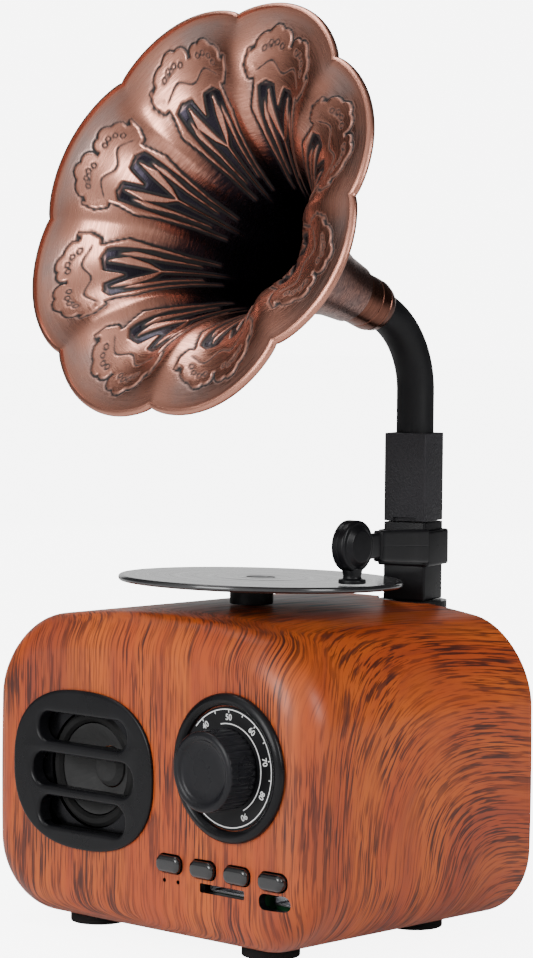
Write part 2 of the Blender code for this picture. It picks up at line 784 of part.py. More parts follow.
def build_record():
    """Pedestal, record and the flat-headed pin that keeps the record on."""
    floor = CAB_TOP + GAP
    pedestal = (
        (2.0, floor - 6.0),
        (2.0, floor),
        (PEDESTAL_RADIUS, floor),
        (PEDESTAL_RADIUS, PEDESTAL_TOP),
    )
    block = turned_solid("pedestal", pedestal, "black", at(*PEDESTAL, 0.0), 32)
    place = record_place()
    bm = bmesh.new()
    loft(bm, [circle(PIN_RADIUS + GAP, z, 20) for z in (-8.5, 2.0)], True, True)
    boolean(block, finish_mesh("cut_pedestal", bm, None, place))
    record = (
        (RECORD_HOLE, -RECORD_THICK),
        (RECORD_RADIUS - 0.5, -RECORD_THICK),
        (RECORD_RADIUS, -RECORD_THICK + 0.5),
        (RECORD_RADIUS, -0.5),
        (RECORD_RADIUS - 0.5, 0.0),
        (4.3, 0.0),
        (4.3, -1.1),
        (RECORD_HOLE, -1.1),
    )
    turned_solid("record", record, "gloss", place, 64, ring=True)
    pin = ((PIN_RADIUS, -8.0), (PIN_RADIUS, -0.8), (3.9, -0.8), (3.9, -0.1))
    turned_solid("spindle_pin", pin, "black", place, 24)


def build_post():
    """Socket on the back, swivelling post and the sleeve that takes the pipe."""
    bm = bmesh.new()
    add_cylinder(bm, SOCKET_RADIUS, POST, SOCKET_LOW, SOCKET_HIGH, "Z", 40)
    socket = finish_mesh("post_socket", bm, "black")
    plate = bmesh.new()
    y = COVER_BACK + GAP + SOCKET_FLANGE[1] / 2
    add_box(plate, SOCKET_FLANGE, (POST[0], y, flange_z()))
    boolean(socket, finish_mesh("join_flange", plate), "UNION")
    cut = bmesh.new()
    add_cylinder(cut, POST_SPIGOT + GAP, POST, POST_SPIGOT_LOW - GAP, SOCKET_HIGH + 2.0, "Z", 28)
    for side in (-1, 1):
        add_cylinder(cut, SCREW_SHANK + GAP, (POST[0] + side * 15.0, flange_z()), y - 3.0, y + 3.0, "Y", 12)
    boolean(socket, finish_mesh("cut_socket", cut))
    place = turned(*POST, 0.0, POST_YAW)
    middle = (POST_FOOT + POST_SHOULDER) / 2
    size = (POST_SIDE, POST_SIDE, POST_SHOULDER - POST_FOOT)
    post = box("post", size, (0.0, 0.0, middle), "black", place, bevel=0.5, segments=2)
    ends = bmesh.new()
    add_cylinder(ends, POST_SPIGOT, (0.0, 0.0), POST_SPIGOT_LOW, POST_FOOT + 3.0, "Z", 32)
    add_cylinder(ends, POST_TENON, (0.0, 0.0), POST_SHOULDER - 3.0, POST_TENON_TOP, "Z", 32)
    boolean(post, finish_mesh("join_post", ends, None, place), "UNION")
    build_sleeve(place)


def build_sleeve(place):
    """Square sleeve with a round bore above, a tenon bore below and a small pry notch."""
    size = (POST_SIDE, POST_SIDE, SLEEVE_HIGH - SLEEVE_LOW)
    middle = (SLEEVE_HIGH + SLEEVE_LOW) / 2
    sleeve = box("horn_sleeve", size, (0.0, 0.0, middle), "black", place, bevel=0.4, segments=2)
    cut = bmesh.new()
    add_cylinder(cut, POST_TENON + GAP, (0.0, 0.0), SLEEVE_LOW - 1.0, POST_TENON_TOP + GAP, "Z", 32)
    add_box(cut, (7.5, 1.8, 1.6), (0.0, -POST_SIDE / 2, SLEEVE_LOW + 0.1))
    boolean(sleeve, finish_mesh("cut_sleeve_low", cut, None, place))
    bore = bmesh.new()
    add_cylinder(bore, PIPE_RADIUS + GAP, (HORN_X, PIPE_Y), PIPE_LOW - GAP, SLEEVE_HIGH + 1.0, "Z", 32)
    boolean(sleeve, finish_mesh("cut_sleeve_high", bore))


def build_tonearm():
    """Ring on the post with a tapered bar, round head and stylus foot."""
    place = turned(*POST, 0.0, POST_YAW)
    ring_height = RING_HIGH - RING_LOW
    size = (2 * RING_HALF, 2 * RING_HALF, ring_height)
    middle = (RING_HIGH + RING_LOW) / 2
    arm = box("tonearm_arm", size, (0.0, 0.0, middle), "black", place, bevel=1.0, segments=2)
    bar = bmesh.new()
    corners = []
    for along, share in ((-RING_HALF + 2.0, 0.12), (BAR_FRONT, 1.0)):
        low = BAR_LOW_Z[0] + (BAR_LOW_Z[1] - BAR_LOW_Z[0]) * share
        high = BAR_HIGH_Z[0] + (BAR_HIGH_Z[1] - BAR_HIGH_Z[0]) * share
        section = ((BAR_INNER, low), (RING_HALF, low), (RING_HALF, high), (BAR_INNER, high))
        corners.append([Vector((x, along, z)) for x, z in section])
    loft(bar, corners, True, True)
    bmesh.ops.bevel(bar, geom=bar.edges[:], offset=0.6, segments=1, affect="EDGES", profile=0.5)
    boolean(arm, finish_mesh("join_bar", bar, None, place), "UNION")
    neck = bmesh.new()
    head_along = -math.dist(HEAD[:2], POST)
    reach = BAR_FRONT - (head_along + HEAD_RADIUS + 0.75)
    neck_y = BAR_FRONT - reach / 2 + 1.0
    add_box(neck, (2.3, reach + 2.0, 7.0), (BAR_INNER + 1.3, neck_y, 114.4))
    boolean(arm, finish_mesh("join_neck", neck, None, place), "UNION")
    hole = bmesh.new()
    add_box(hole, (2 * RING_HOLE_HALF, 2 * RING_HOLE_HALF, 40.0), (0.0, 0.0, middle))
    boolean(arm, finish_mesh("cut_ring", hole, None, place))
    build_head()


def build_head():
    """Round head with a raised boss on both faces, and the foot below it."""
    half = HEAD_THICK / 2
    profile = (
        (HEAD_BOSS - 0.9, -half - HEAD_BOSS_PROUD),
        (HEAD_BOSS, -half),
        (HEAD_RADIUS - 0.8, -half),
        (HEAD_RADIUS, -half + 0.8),
        (HEAD_RADIUS, half - 0.8),
        (HEAD_RADIUS - 0.8, half),
        (HEAD_BOSS, half),
        (HEAD_BOSS - 0.9, half + HEAD_BOSS_PROUD),
    )
    sideways = at(*HEAD) @ Matrix.Rotation(HEAD_YAW, 4, "Z") @ Matrix.Rotation(math.radians(90.0), 4, "Y")
    head = turned_solid("tonearm_head", profile, "black", sideways, 32)
    cut = bmesh.new()
    add_cylinder(cut, STYLUS_NECK + GAP, HEAD[:2], STYLUS_LOW, HEAD[2] - HEAD_RADIUS + 2.0, "Z", 24)
    boolean(head, finish_mesh("cut_head", cut))
    foot = (
        (STYLUS_FLANGE - 0.3, STYLUS_LOW),
        (STYLUS_FLANGE, STYLUS_LOW + 0.3),
        (STYLUS_FLANGE, STYLUS_LOW + 1.3),
        (STYLUS_NECK - 0.2, STYLUS_LOW + 1.6),
        (STYLUS_NECK, HEAD[2] - HEAD_RADIUS + 1.7),
    )
    turned_solid("stylus_foot", foot, "black", at(HEAD[0], HEAD[1], 0.0), 24)


def horn_frame():
    """Frame at the small end of the horn: local +Z runs along its axis to the mouth."""
    lean = Matrix.Rotation(math.radians(90.0) - HORN_RISE, 4, "X")
    return at(*HORN_START) @ lean @ Matrix.Rotation(HORN_TWIST, 4, "Z")


def pipe_path():
    """Centre line of the pipe as (point, direction) pairs, in the world frame."""
    turn = math.radians(90.0) - HORN_RISE
    radius = (PIPE_Y - HORN_START[1]) / (1.0 - math.cos(turn))
    start = HORN_START[2] - radius * math.sin(turn)
    path = [(Vector((HORN_X, PIPE_Y, PIPE_LOW)), Vector((0.0, 0.0, 1.0)))]
    for i in range(9):
        angle = turn * i / 8
        y = PIPE_Y - radius * (1.0 - math.cos(angle))
        z = start + radius * math.sin(angle)
        path.append((Vector((HORN_X, y, z)), Vector((0.0, -math.sin(angle), math.cos(angle)))))
    end, along = path[-1]
    path.append((end + along * PIPE_INTO_FERRULE, along))
    return path


def build_pipe():
    """Hollow bent pipe, open at both ends."""
    side = Vector((1.0, 0.0, 0.0))
    rings = []
    for radius, path in ((PIPE_RADIUS, pipe_path()), (PIPE_BORE, pipe_path()[::-1])):
        for middle, along in path:
            other = along.cross(side)
            points = circle(radius, 0.0, 20)
            rings.append([middle + side * p.x + other * p.y for p in points])
    bm = bmesh.new()
    loft(bm, rings, False, False, join_ends=True)
    finish_mesh("horn_pipe", bm, "rubber")


def lobe_wave(angle):
    """0 at a notch of the rim and 1 in the middle of a lobe; notches lie on the horn's own top line."""
    return abs(math.sin(HORN_LOBES / 2 * angle)) ** LOBE_POWER


def horn_ring(along, radius):
    """One lobed ring of the horn."""
    share = max(0.0, (radius - 16.0) / (58.2 - 16.0)) ** 1.6
    points = []
    for i in range(HORN_SEGMENTS):
        angle = math.tau * i / HORN_SEGMENTS
        r = radius + LOBE_DEPTH * share * lobe_wave(angle)
        points.append(Vector((r * math.sin(angle), r * math.cos(angle), along)))
    return points


def build_horn():
    """Ferrule and the lobed bell with its rolled rim."""
    ferrule = (
        (6.1, 0.0),
        (6.9, 0.0),
        (7.7, 3.2),
        (8.05, FERRULE_END),
        (7.1, FERRULE_END),
        (7.1, 9.0),
        (6.1, 8.6),
    )
    turned_solid("horn_ferrule", ferrule, "copper", horn_frame(), 32, ring=True)
    outer = list(HORN_PROFILE)
    bead_r, bead_s = outer[-1][1] + RIM_BEAD * 0.6, outer[-1][0] + 0.2
    bead = []
    for degrees in (-110, -30, 40, 110):
        turn = math.radians(degrees)
        bead.append((bead_s + RIM_BEAD * math.sin(turn), bead_r + RIM_BEAD * math.cos(turn)))
    inner = []
    for i in range(len(outer) - 1, -1, -1):
        before, after = outer[max(i - 1, 0)], outer[min(i + 1, len(outer) - 1)]
        slope = math.atan2(after[1] - before[1], after[0] - before[0])
        s = outer[i][0] + HORN_SHEET * math.sin(slope)
        inner.append((s, outer[i][1] - HORN_SHEET * math.cos(slope)))
    inner[-1] = (outer[0][0], outer[0][1] - HORN_SHEET)
    rings = [horn_ring(s, r) for s, r in outer + bead + inner[1:]]
    bm = bmesh.new()
    loft(bm, rings, False, False, join_ends=True)
    finish_mesh("horn_bell", bm, "copper", horn_frame())


def main():
    """Build the whole loudspeaker."""
    clear_scene()
    build_cabinet()
    build_cover()
    build_screws()
    build_feet()
    build_grille()
    build_driver()
    build_dial()
    build_knob()
    build_keys()
    build_electronics()
    build_battery()
    build_leads()
    build_record()
    build_post()
    build_tonearm()
    build_pipe()
    build_horn()
    for obj in bpy.data.objects:
        obj.location -= Vector((*ORIGIN, 0.0)) * MM


main()
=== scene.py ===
"""Looks of the horn loudspeaker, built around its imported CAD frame.

Sizes are millimetres. Places come from the boxes and joints of the frame, so every surface sits
where its CAD part does. Each sub-assembly is a class with its sizes as fields; each finish is a
frozen dataclass that builds one procedural material.
"""

import json
import logging
import math
from dataclasses import dataclass
from enum import Enum
from typing import Any

import bpy
import numpy as np
from mathutils import Matrix, Vector


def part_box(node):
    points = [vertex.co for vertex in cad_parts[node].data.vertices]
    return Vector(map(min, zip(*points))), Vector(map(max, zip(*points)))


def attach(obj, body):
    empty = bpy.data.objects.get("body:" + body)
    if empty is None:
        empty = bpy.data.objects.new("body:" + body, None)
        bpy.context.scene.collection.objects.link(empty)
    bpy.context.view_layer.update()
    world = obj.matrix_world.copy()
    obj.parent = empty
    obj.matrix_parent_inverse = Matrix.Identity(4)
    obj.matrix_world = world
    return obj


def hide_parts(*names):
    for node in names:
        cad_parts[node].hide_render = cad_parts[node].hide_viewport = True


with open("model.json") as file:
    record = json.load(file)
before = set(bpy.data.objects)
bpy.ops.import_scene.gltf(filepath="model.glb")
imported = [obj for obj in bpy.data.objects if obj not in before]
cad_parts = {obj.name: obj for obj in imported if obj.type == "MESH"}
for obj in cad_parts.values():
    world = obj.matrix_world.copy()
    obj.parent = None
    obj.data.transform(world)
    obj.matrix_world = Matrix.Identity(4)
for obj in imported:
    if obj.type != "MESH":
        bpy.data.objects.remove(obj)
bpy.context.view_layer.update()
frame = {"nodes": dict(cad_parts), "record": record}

LOG = logging.getLogger("horn_loudspeaker")
MM = 0.001
FRONT_FACING = Matrix.Rotation(math.radians(90.0), 4, "X")
Corners = list[tuple[float, float, float]]


class Body(Enum):
    """The moving bodies that pieces ride on."""

    CABINET = "cabinet"
    KNOB = "volume_knob"
    RECORD = "record"
    POST = "post"
    TONEARM = "tonearm"
    PIPE = "pipe"
    HORN = "horn"


# ---------------------------------------------------------------- places taken from the frame


def low_high(node: str) -> tuple[np.ndarray, np.ndarray]:
    """Corners of a CAD node's box.

    Args:
        node: name of the node.

    Returns:
        The lowest and the highest corner in millimetres.
    """
    low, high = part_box(node)
    return np.array(low) / MM, np.array(high) / MM


def middle(node: str) -> np.ndarray:
    """Middle of a CAD node's box, in millimetres."""
    low, high = low_high(node)
    return (low + high) / 2


def joint_frame(name: str) -> tuple[np.ndarray, np.ndarray]:
    """Place and axis of a hinge.

    Args:
        name: name of the joint.

    Returns:
        The pivot in millimetres and the unit axis.
    """
    joint = next(j for j in frame["record"]["behaviour"]["joints"] if j["name"] == name)
    axis = np.array(joint["axis"], float)
    return np.array(joint["pos_m"]) / MM, axis / np.linalg.norm(axis)


def along_axis(pivot: np.ndarray, axis: np.ndarray, turn: float = 0.0) -> Matrix:
    """Placement whose local +Z runs along an axis, with local X kept level.

    Args:
        pivot: origin of the placement.
        axis: direction of local +Z.
        turn: extra turn about the axis, in radians.

    Returns:
        The placement in millimetres.
    """
    side = np.array([1.0, 0.0, 0.0])
    upright = np.cross(axis, side)
    upright /= np.linalg.norm(upright)
    side = np.cross(upright, axis)
    place = Matrix(np.column_stack([side, upright, axis]).tolist()).to_4x4()
    place.translation = Vector(pivot)
    return place @ Matrix.Rotation(turn, 4, "Z")


# ---------------------------------------------------------------- surfaces


def smooth_step(low: float, high: float, value: np.ndarray) -> np.ndarray:
    """Ramp that is 0 below low, 1 above high and 3t^2 - 2t^3 between them.

    Args:
        low: where the ramp starts.
        high: where it ends.
        value: the values.

    Returns:
        The ramp at each value.
    """
    share = np.clip((value - low) / (high - low), 0.0, 1.0)
    return share * share * (3.0 - 2.0 * share)


def soften(corners: Corners, steps: int = 5, closed: bool = True) -> np.ndarray:
    """Round the corners of an outline.

    Each corner is replaced by the quadratic curve (1-t)^2 A + 2t(1-t) P + t^2 B between the points
    A and B that lie its radius away along the two sides.

    Args:
        corners: points as (a, b, radius).
        steps: points along each rounded corner.
        closed: whether the last point joins the first.

    Returns:
        The rounded outline, one row per point.
    """
    rows = []
    count = len(corners)
    blend = np.linspace(0.0, 1.0, steps)[:, None]
    for i, (a, b, radius) in enumerate(corners):
        here = np.array([a, b])
        if radius <= 0.0 or (not closed and i in (0, count - 1)):
            rows.append(here[None])
            continue
        before = np.array(corners[i - 1][:2])
        after = np.array(corners[(i + 1) % count][:2])
        start = here + (before - here) * min(0.5, radius / np.linalg.norm(before - here))
        end = here + (after - here) * min(0.5, radius / np.linalg.norm(after - here))
        rows.append((1 - blend) ** 2 * start + 2 * blend * (1 - blend) * here + blend**2 * end)
    return np.concatenate(rows)


def turn_profile(profile: np.ndarray, segments: int = 96) -> np.ndarray:
    """Rings of a surface of revolution: (r cos a, r sin a, z) for each (r, z) of the profile.

    Args:
        profile: rows of (radius, height).
        segments: points round each ring.

    Returns:
        The rings.
    """
    angle = np.arange(segments) * math.tau / segments
    radius, height = profile[:, :1], profile[:, 1:]
    return np.stack([radius * np.cos(angle), radius * np.sin(angle), height + 0.0 * angle], -1)


def rounded_rectangle(width: float, height: float, radius: float, steps: int = 8) -> np.ndarray:
    """Outline whose corners are quarter circles, about the origin.

    Args:
        width: full width.
        height: full height.
        radius: radius of the corners.
        steps: points along each corner.

    Returns:
        The outline.
    """
    quarter = np.linspace(0.0, math.pi / 2, steps)
    rows = []
    for i, (sx, sy) in enumerate(((1, 1), (-1, 1), (-1, -1), (1, -1))):
        angle = quarter + i * math.pi / 2
        x = sx * (width / 2 - radius) + radius * np.cos(angle)
        y = sy * (height / 2 - radius) + radius * np.sin(angle)
        rows.append(np.stack([x, y], -1))
    return np.concatenate(rows)


def superellipse(width: float, height: float, power: float, count: int) -> np.ndarray:
    """Outline |x/a|^n + |y/b|^n = 1, about the origin.

    Args:
        width: full width, 2a.
        height: full height, 2b.
        power: the exponent n.
        count: number of points.

    Returns:
        The outline.
    """
    angle = np.arange(count) * math.tau / count
    c, s = np.cos(angle), np.sin(angle)
    x = np.sign(c) * np.abs(c) ** (2.0 / power) * width / 2
    y = np.sign(s) * np.abs(s) ** (2.0 / power) * height / 2
    return np.stack([x, y], -1)


def inset(outline: np.ndarray, amount: float) -> np.ndarray:
    """Move each point of an outline inwards along its normal by the amount.

    Args:
        outline: the points.
        amount: how far they move.

    Returns:
        The moved outline.
    """
    tangent = np.roll(outline, -1, 0) - np.roll(outline, 1, 0)
    length = np.linalg.norm(tangent, axis=1, keepdims=True)
    normal = np.stack([tangent[:, 1], -tangent[:, 0]], -1) / np.maximum(length, 1e-9)
    return outline - normal * amount


def loft(outline: np.ndarray, levels: np.ndarray) -> np.ndarray:
    """Rings of a prism: the outline at each height, drawn in by each inset.

    Args:
        outline: points of the section.
        levels: rows of (inset, height).

    Returns:
        The rings.
    """
    rings = [np.column_stack([inset(outline, i), np.full(len(outline), z)]) for i, z in levels]
    return np.stack(rings)


def skin_faces(rows: int, columns: int, closed: bool) -> np.ndarray:
    """Quads between the rings of a grid; closed also joins the last ring to the first.

    Args:
        rows: number of rings.
        columns: points in each ring.
        closed: whether the rings form a loop.

    Returns:
        Four point numbers per quad.
    """
    index = np.arange(rows * columns).reshape(rows, columns)
    low = index if closed else index[:-1]
    high = np.roll(index, -1, 0) if closed else index[1:]
    quads = [low, np.roll(low, -1, 1), np.roll(high, -1, 1), high]
    return np.stack(quads, -1).reshape(-1, 4)


def mesh_volume(points: np.ndarray, quads: np.ndarray) -> float:
    """Signed volume under the quads: the sum of a . (b x c) / 6 over their triangles.

    Args:
        points: the points.
        quads: four point numbers per quad.

    Returns:
        The volume.
    """
    a, b, c, d = (points[quads[:, i]] for i in range(4))
    first = np.einsum("ij,ij->i", a, np.cross(b, c))
    second = np.einsum("ij,ij->i", a, np.cross(c, d))
    return float((first + second).sum() / 6.0)


def build_mesh(name: str, rings: np.ndarray, closed: bool, place: Matrix | None) -> bpy.types.Mesh:
    """Skin rings into a closed mesh whose faces point outwards.

    Args:
        name: name of the mesh.
        rings: array of (ring, point, 3) in millimetres.
        closed: whether the rings form a loop; otherwise both ends are capped.
        place: placement in millimetres.

    Returns:
        The mesh, in metres and in the row frame.
    """
    rows, columns = rings.shape[:2]
    points = rings.reshape(-1, 3)
    if place is not None:
        matrix = np.array(place)
        points = points @ matrix[:3, :3].T + matrix[:3, 3]
    quads = skin_faces(rows, columns, closed)
    centred = points - points.mean(0)
    flip = mesh_volume(centred, quads) < 0.0
    faces = quads[:, ::-1].tolist() if flip else quads.tolist()
    if not closed:
        first = list(range(columns))[::-1]
        last = list(range((rows - 1) * columns, rows * columns))
        faces += [first[::-1], last[::-1]] if flip else [first, last]
    mesh = bpy.data.meshes.new(name)
    mesh.from_pydata((points * MM).tolist(), [], faces)
    mesh.update()
    return mesh


def link(name: str, mesh: bpy.types.Mesh) -> bpy.types.Object:
    """Put a mesh into the scene as an object at the origin.

    Args:
        name: name of the object.
        mesh: its mesh.

    Returns:
        The object.
    """
    obj = bpy.data.objects.new(name, mesh)
    bpy.context.scene.collection.objects.link(obj)
    return obj


def apply_modifiers(obj: bpy.types.Object) -> None:
    """Replace an object's mesh by the one its modifiers make.

    Args:
        obj: the object.
    """
    graph = bpy.context.evaluated_depsgraph_get()
    made = bpy.data.meshes.new_from_object(obj.evaluated_get(graph))
    obj.modifiers.clear()
    obj.data = made


def carve(obj: bpy.types.Object, cutters: list[bpy.types.Mesh]) -> None:
    """Cut closed meshes out of an object, one after the other, and apply the result.

    Args:
        obj: the object.
        cutters: the closed meshes.
    """
    for number, mesh in enumerate(cutters):
        cutter = link(f"{obj.name}_cutter_{number}", mesh)
        step = obj.modifiers.new(cutter.name, "BOOLEAN")
        step.solver = "EXACT"
        step.object = cutter
        bpy.context.view_layer.update()
        apply_modifiers(obj)
        bpy.data.objects.remove(cutter)


@dataclass
class Piece:
    """One visible piece: where it rides, what it stands for and how it is finished."""

    name: str
    mesh: bpy.types.Mesh
    finish: "Finish"
    body: str
    replaces: tuple[str, ...]
    slot: str
    sharp: float = 32.0

    def place(self) -> bpy.types.Object:
        """Returns:
            The object.
        """
        obj = link(self.name, self.mesh)
        return self.declare(obj)

    def declare(self, obj: bpy.types.Object) -> bpy.types.Object:
        """Dress an object that is already in the scene, hang it on its body and hide the CAD parts it
        replaces.

        Args:
            obj: the object.

        Returns:
            The same object.
        """
        if not obj.data.materials:
            obj.data.materials.append(self.finish.material())
        obj.data.shade_smooth()
        obj.data.set_sharp_from_angle(angle=math.radians(self.sharp))
        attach(obj, self.body)
        if self.replaces:
            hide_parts(*self.replaces)
        LOG.info("%s: %d faces on %s", self.name, len(obj.data.polygons), self.body)
        return obj


# ---------------------------------------------------------------- finishes


class Graph:
    """A small helper for building a material's nodes."""

    def __init__(self, name: str) -> None:
        """Start a material with one Principled shader."""
        self.made = bpy.data.materials.new(name)
        self.made.use_nodes = True
        self.tree = self.made.node_tree
        self.shader = self.tree.nodes["Principled BSDF"]

    def node(self, kind: str, inputs: dict[Any, Any], **settings: Any) -> bpy.types.Node:
        """Add a node.

        Args:
            kind: type name without its ShaderNode prefix.
            inputs: input name or index to a socket or a constant.
            **settings: properties of the node.

        Returns:
            The node.
        """
        made = self.tree.nodes.new("ShaderNode" + kind)
        for key, value in settings.items():
            setattr(made, key, value)
        for key, value in inputs.items():
            self.feed(made.inputs[key], value)
        return made

    def feed(self, socket: bpy.types.NodeSocket, value: Any) -> None:
        """Link a socket to another one, or set its constant.

        Args:
            socket: the input to feed.
            value: a socket or a constant.
        """
        if isinstance(value, bpy.types.NodeSocket):
            self.tree.links.new(value, socket)
        else:
            socket.default_value = value

    def object_space(self, scale: tuple[float, float, float]) -> bpy.types.NodeSocket:
        """Object coordinates multiplied by a scale per axis."""
        place = self.node("TexCoord", {}).outputs["Object"]
        return self.node("Mapping", {"Vector": place, "Scale": scale}).outputs["Vector"]

    def attribute(self, name: str) -> bpy.types.NodeSocket:
        """Factor of a mesh attribute."""
        return self.node("Attribute", {}, attribute_name=name).outputs["Fac"]

    def noise(self, vector: Any, scale: float, detail: float = 4.0, rough: float = 0.55) -> Any:
        """Value of a noise texture."""
        inputs = {"Vector": vector, "Scale": scale, "Detail": detail, "Roughness": rough}
        return self.node("TexNoise", inputs).outputs[0]

    def ramp(self, value: Any, low: float, high: float, start: float = 0.0, end: float = 1.0) -> Any:
        """Clamped smooth change from start at low to end at high."""
        inputs = {"Value": value, "From Min": low, "From Max": high, "To Min": start, "To Max": end}
        return self.node("MapRange", inputs, interpolation_type="SMOOTHSTEP").outputs[0]

    def math(self, operation: str, a: Any, b: Any = 0.0) -> Any:
        """Result of a math node."""
        return self.node("Math", {0: a, 1: b}, operation=operation).outputs[0]

    def blend(self, factor: Any, a: Any, b: Any, blend_type: str = "MIX") -> Any:
        """Colour mixed from a to b by the factor.

        Args:
            factor: share of b.
            a: first colour.
            b: second colour.
            blend_type: how they are mixed.

        Returns:
            The mixed colour.
        """
        made = self.node("Mix", {}, data_type="RGBA", blend_type=blend_type)
        self.feed(made.inputs[0], factor)
        self.feed(made.inputs[6], a)
        self.feed(made.inputs[7], b)
        return made.outputs[2]

    def bump(self, height: Any, distance: float, strength: float = 1.0) -> None:
        """Tilt the shader's normal by a height in metres times the distance."""
        inputs = {"Height": height, "Distance": distance, "Strength": strength}
        self.feed(self.shader.inputs["Normal"], self.node("Bump", inputs).outputs[0])

    def set(self, **values: Any) -> None:
        """Feed shader inputs; an underscore in a name stands for a space."""
        for key, value in values.items():
            self.feed(self.shader.inputs[key.replace("_", " ")], value)


def rgba(colour: tuple[float, float, float]) -> tuple[float, float, float, float]:
    """A linear colour with full alpha."""
    return (*colour, 1.0)


@dataclass(frozen=True)
class Finish:
    """A moulded, painted or plated surface with fine grain, mottling and uneven gloss."""

    name: str
    colour: tuple[float, float, float]
    roughness: float = 0.4
    metallic: float = 0.0
    coat: float = 0.0
    grain: float = 900.0
    relief: float = 0.00002
    mottle: float = 0.15
    specular: float = 0.5

    def material(self) -> bpy.types.Material:
        """The finish's material, made on first use."""
        found = bpy.data.materials.get(self.name)
        return found or self.build(Graph(self.name))

    def build(self, graph: Graph) -> bpy.types.Material:
        """Fill the graph.

        Args:
            graph: the empty graph.

        Returns:
            The finished material.
        """
        space = graph.object_space((1.0, 1.0, 1.0))
        fine = graph.noise(space, self.grain, 3.0)
        broad = graph.noise(space, 60.0, 4.0)
        dark = tuple(c * (1.0 - self.mottle) for c in self.colour)
        light = tuple(c * (1.0 + self.mottle) for c in self.colour)
        spread = self.roughness * 0.22
        graph.set(
            Base_Color=graph.blend(graph.ramp(broad, 0.35, 0.65), rgba(dark), rgba(light)),
            Roughness=graph.ramp(broad, 0.3, 0.7, self.roughness - spread, self.roughness + spread),
            Metallic=self.metallic,
            Specular_IOR_Level=self.specular,
            Coat_Weight=self.coat,
            Coat_Roughness=0.12,
        )
        graph.bump(fine, self.relief)
        return graph.made


@dataclass(frozen=True)
class TurnedMetal(Finish):
    """Metal with fine turning marks round the long axis of its own frame."""

    turns: float = 2600.0

    def build(self, graph: Graph) -> bpy.types.Material:
        """Fill the graph: thin noise bands along the stored lathe coordinate.

        Args:
            graph: the empty graph.

        Returns:
            The finished material.
        """
        lathe = graph.attribute("lathe")
        bands = graph.noise(graph.node("CombineXYZ", {0: lathe}).outputs[0], self.turns, 2.0)
        broad = graph.noise(graph.object_space((1.0, 1.0, 1.0)), 90.0, 4.0)
        dark = tuple(c * 0.35 for c in self.colour)
        tone = graph.math("MULTIPLY", graph.ramp(bands, 0.3, 0.62), graph.ramp(broad, 0.3, 0.6, 0.4, 1.0))
        graph.set(
            Base_Color=graph.blend(tone, rgba(dark), rgba(self.colour)),
            Roughness=graph.ramp(broad, 0.3, 0.7, self.roughness * 0.8, self.roughness * 1.3),
            Metallic=self.metallic,
            Coat_Weight=self.coat,
        )
        graph.bump(bands, self.relief)
        return graph.made


@dataclass(frozen=True)
class WoodFilm(Finish):
    """Printed wood-grain film: orange-brown with dark streaks that follow the grain coordinates."""

    streak: tuple[float, float, float] = (0.034, 0.008, 0.006)
    plum: tuple[float, float, float] = (0.14, 0.027, 0.018)
    amber: tuple[float, float, float] = (0.48, 0.095, 0.011)

    def build(self, graph: Graph) -> bpy.types.Material:
        """Fill the graph: three widths of streaks, each a noise stretched along the grain.

        Args:
            graph: the empty graph.

        Returns:
            The finished material.
        """
        flow = graph.node("UVMap", {}, uv_map="grain").outputs[0]

        def strands(across: float, along: float, scale: float, detail: float) -> Any:
            """Noise stretched along the grain."""
            scaled = graph.node("Mapping", {"Vector": flow, "Scale": (across, along, 1.0)})
            return graph.noise(scaled.outputs[0], scale, detail, 0.6)

        tone = strands(1.0, 0.16, 60.0, 3.0)
        bands = strands(1.0, 0.10, 230.0, 3.0)
        broad = strands(1.0, 0.05, 700.0, 2.5)
        fine = strands(1.0, 0.035, 1500.0, 2.0)
        patches = strands(1.0, 0.5, 45.0, 2.0)
        colour = graph.blend(graph.ramp(tone, 0.35, 0.68), rgba(self.colour), rgba(self.amber))
        haze = strands(1.0, 0.3, 25.0, 2.0)
        colour = graph.blend(graph.ramp(haze, 0.45, 0.7, 0.0, 0.5), colour, rgba(self.plum))
        colour = graph.blend(graph.ramp(bands, 0.5, 0.72, 0.0, 0.45), colour, rgba(self.plum))
        weight = graph.ramp(patches, 0.3, 0.62, 0.25, 1.0)
        wide = graph.math("MULTIPLY", graph.ramp(broad, 0.55, 0.61), weight)
        colour = graph.blend(graph.math("MULTIPLY", wide, 0.8), colour, rgba(self.streak))
        thin = graph.math("MULTIPLY", graph.math("MULTIPLY", graph.ramp(fine, 0.5, 0.58), weight), 0.9)
        colour = graph.blend(thin, colour, rgba(self.streak))
        graph.set(
            Base_Color=colour,
            Roughness=graph.ramp(broad, 0.4, 0.65, self.roughness, self.roughness + 0.1),
            Specular_IOR_Level=self.specular,
            Coat_Weight=self.coat,
            Coat_Roughness=0.28,
        )
        graph.bump(graph.math("ADD", fine, broad), self.relief)
        return graph.made


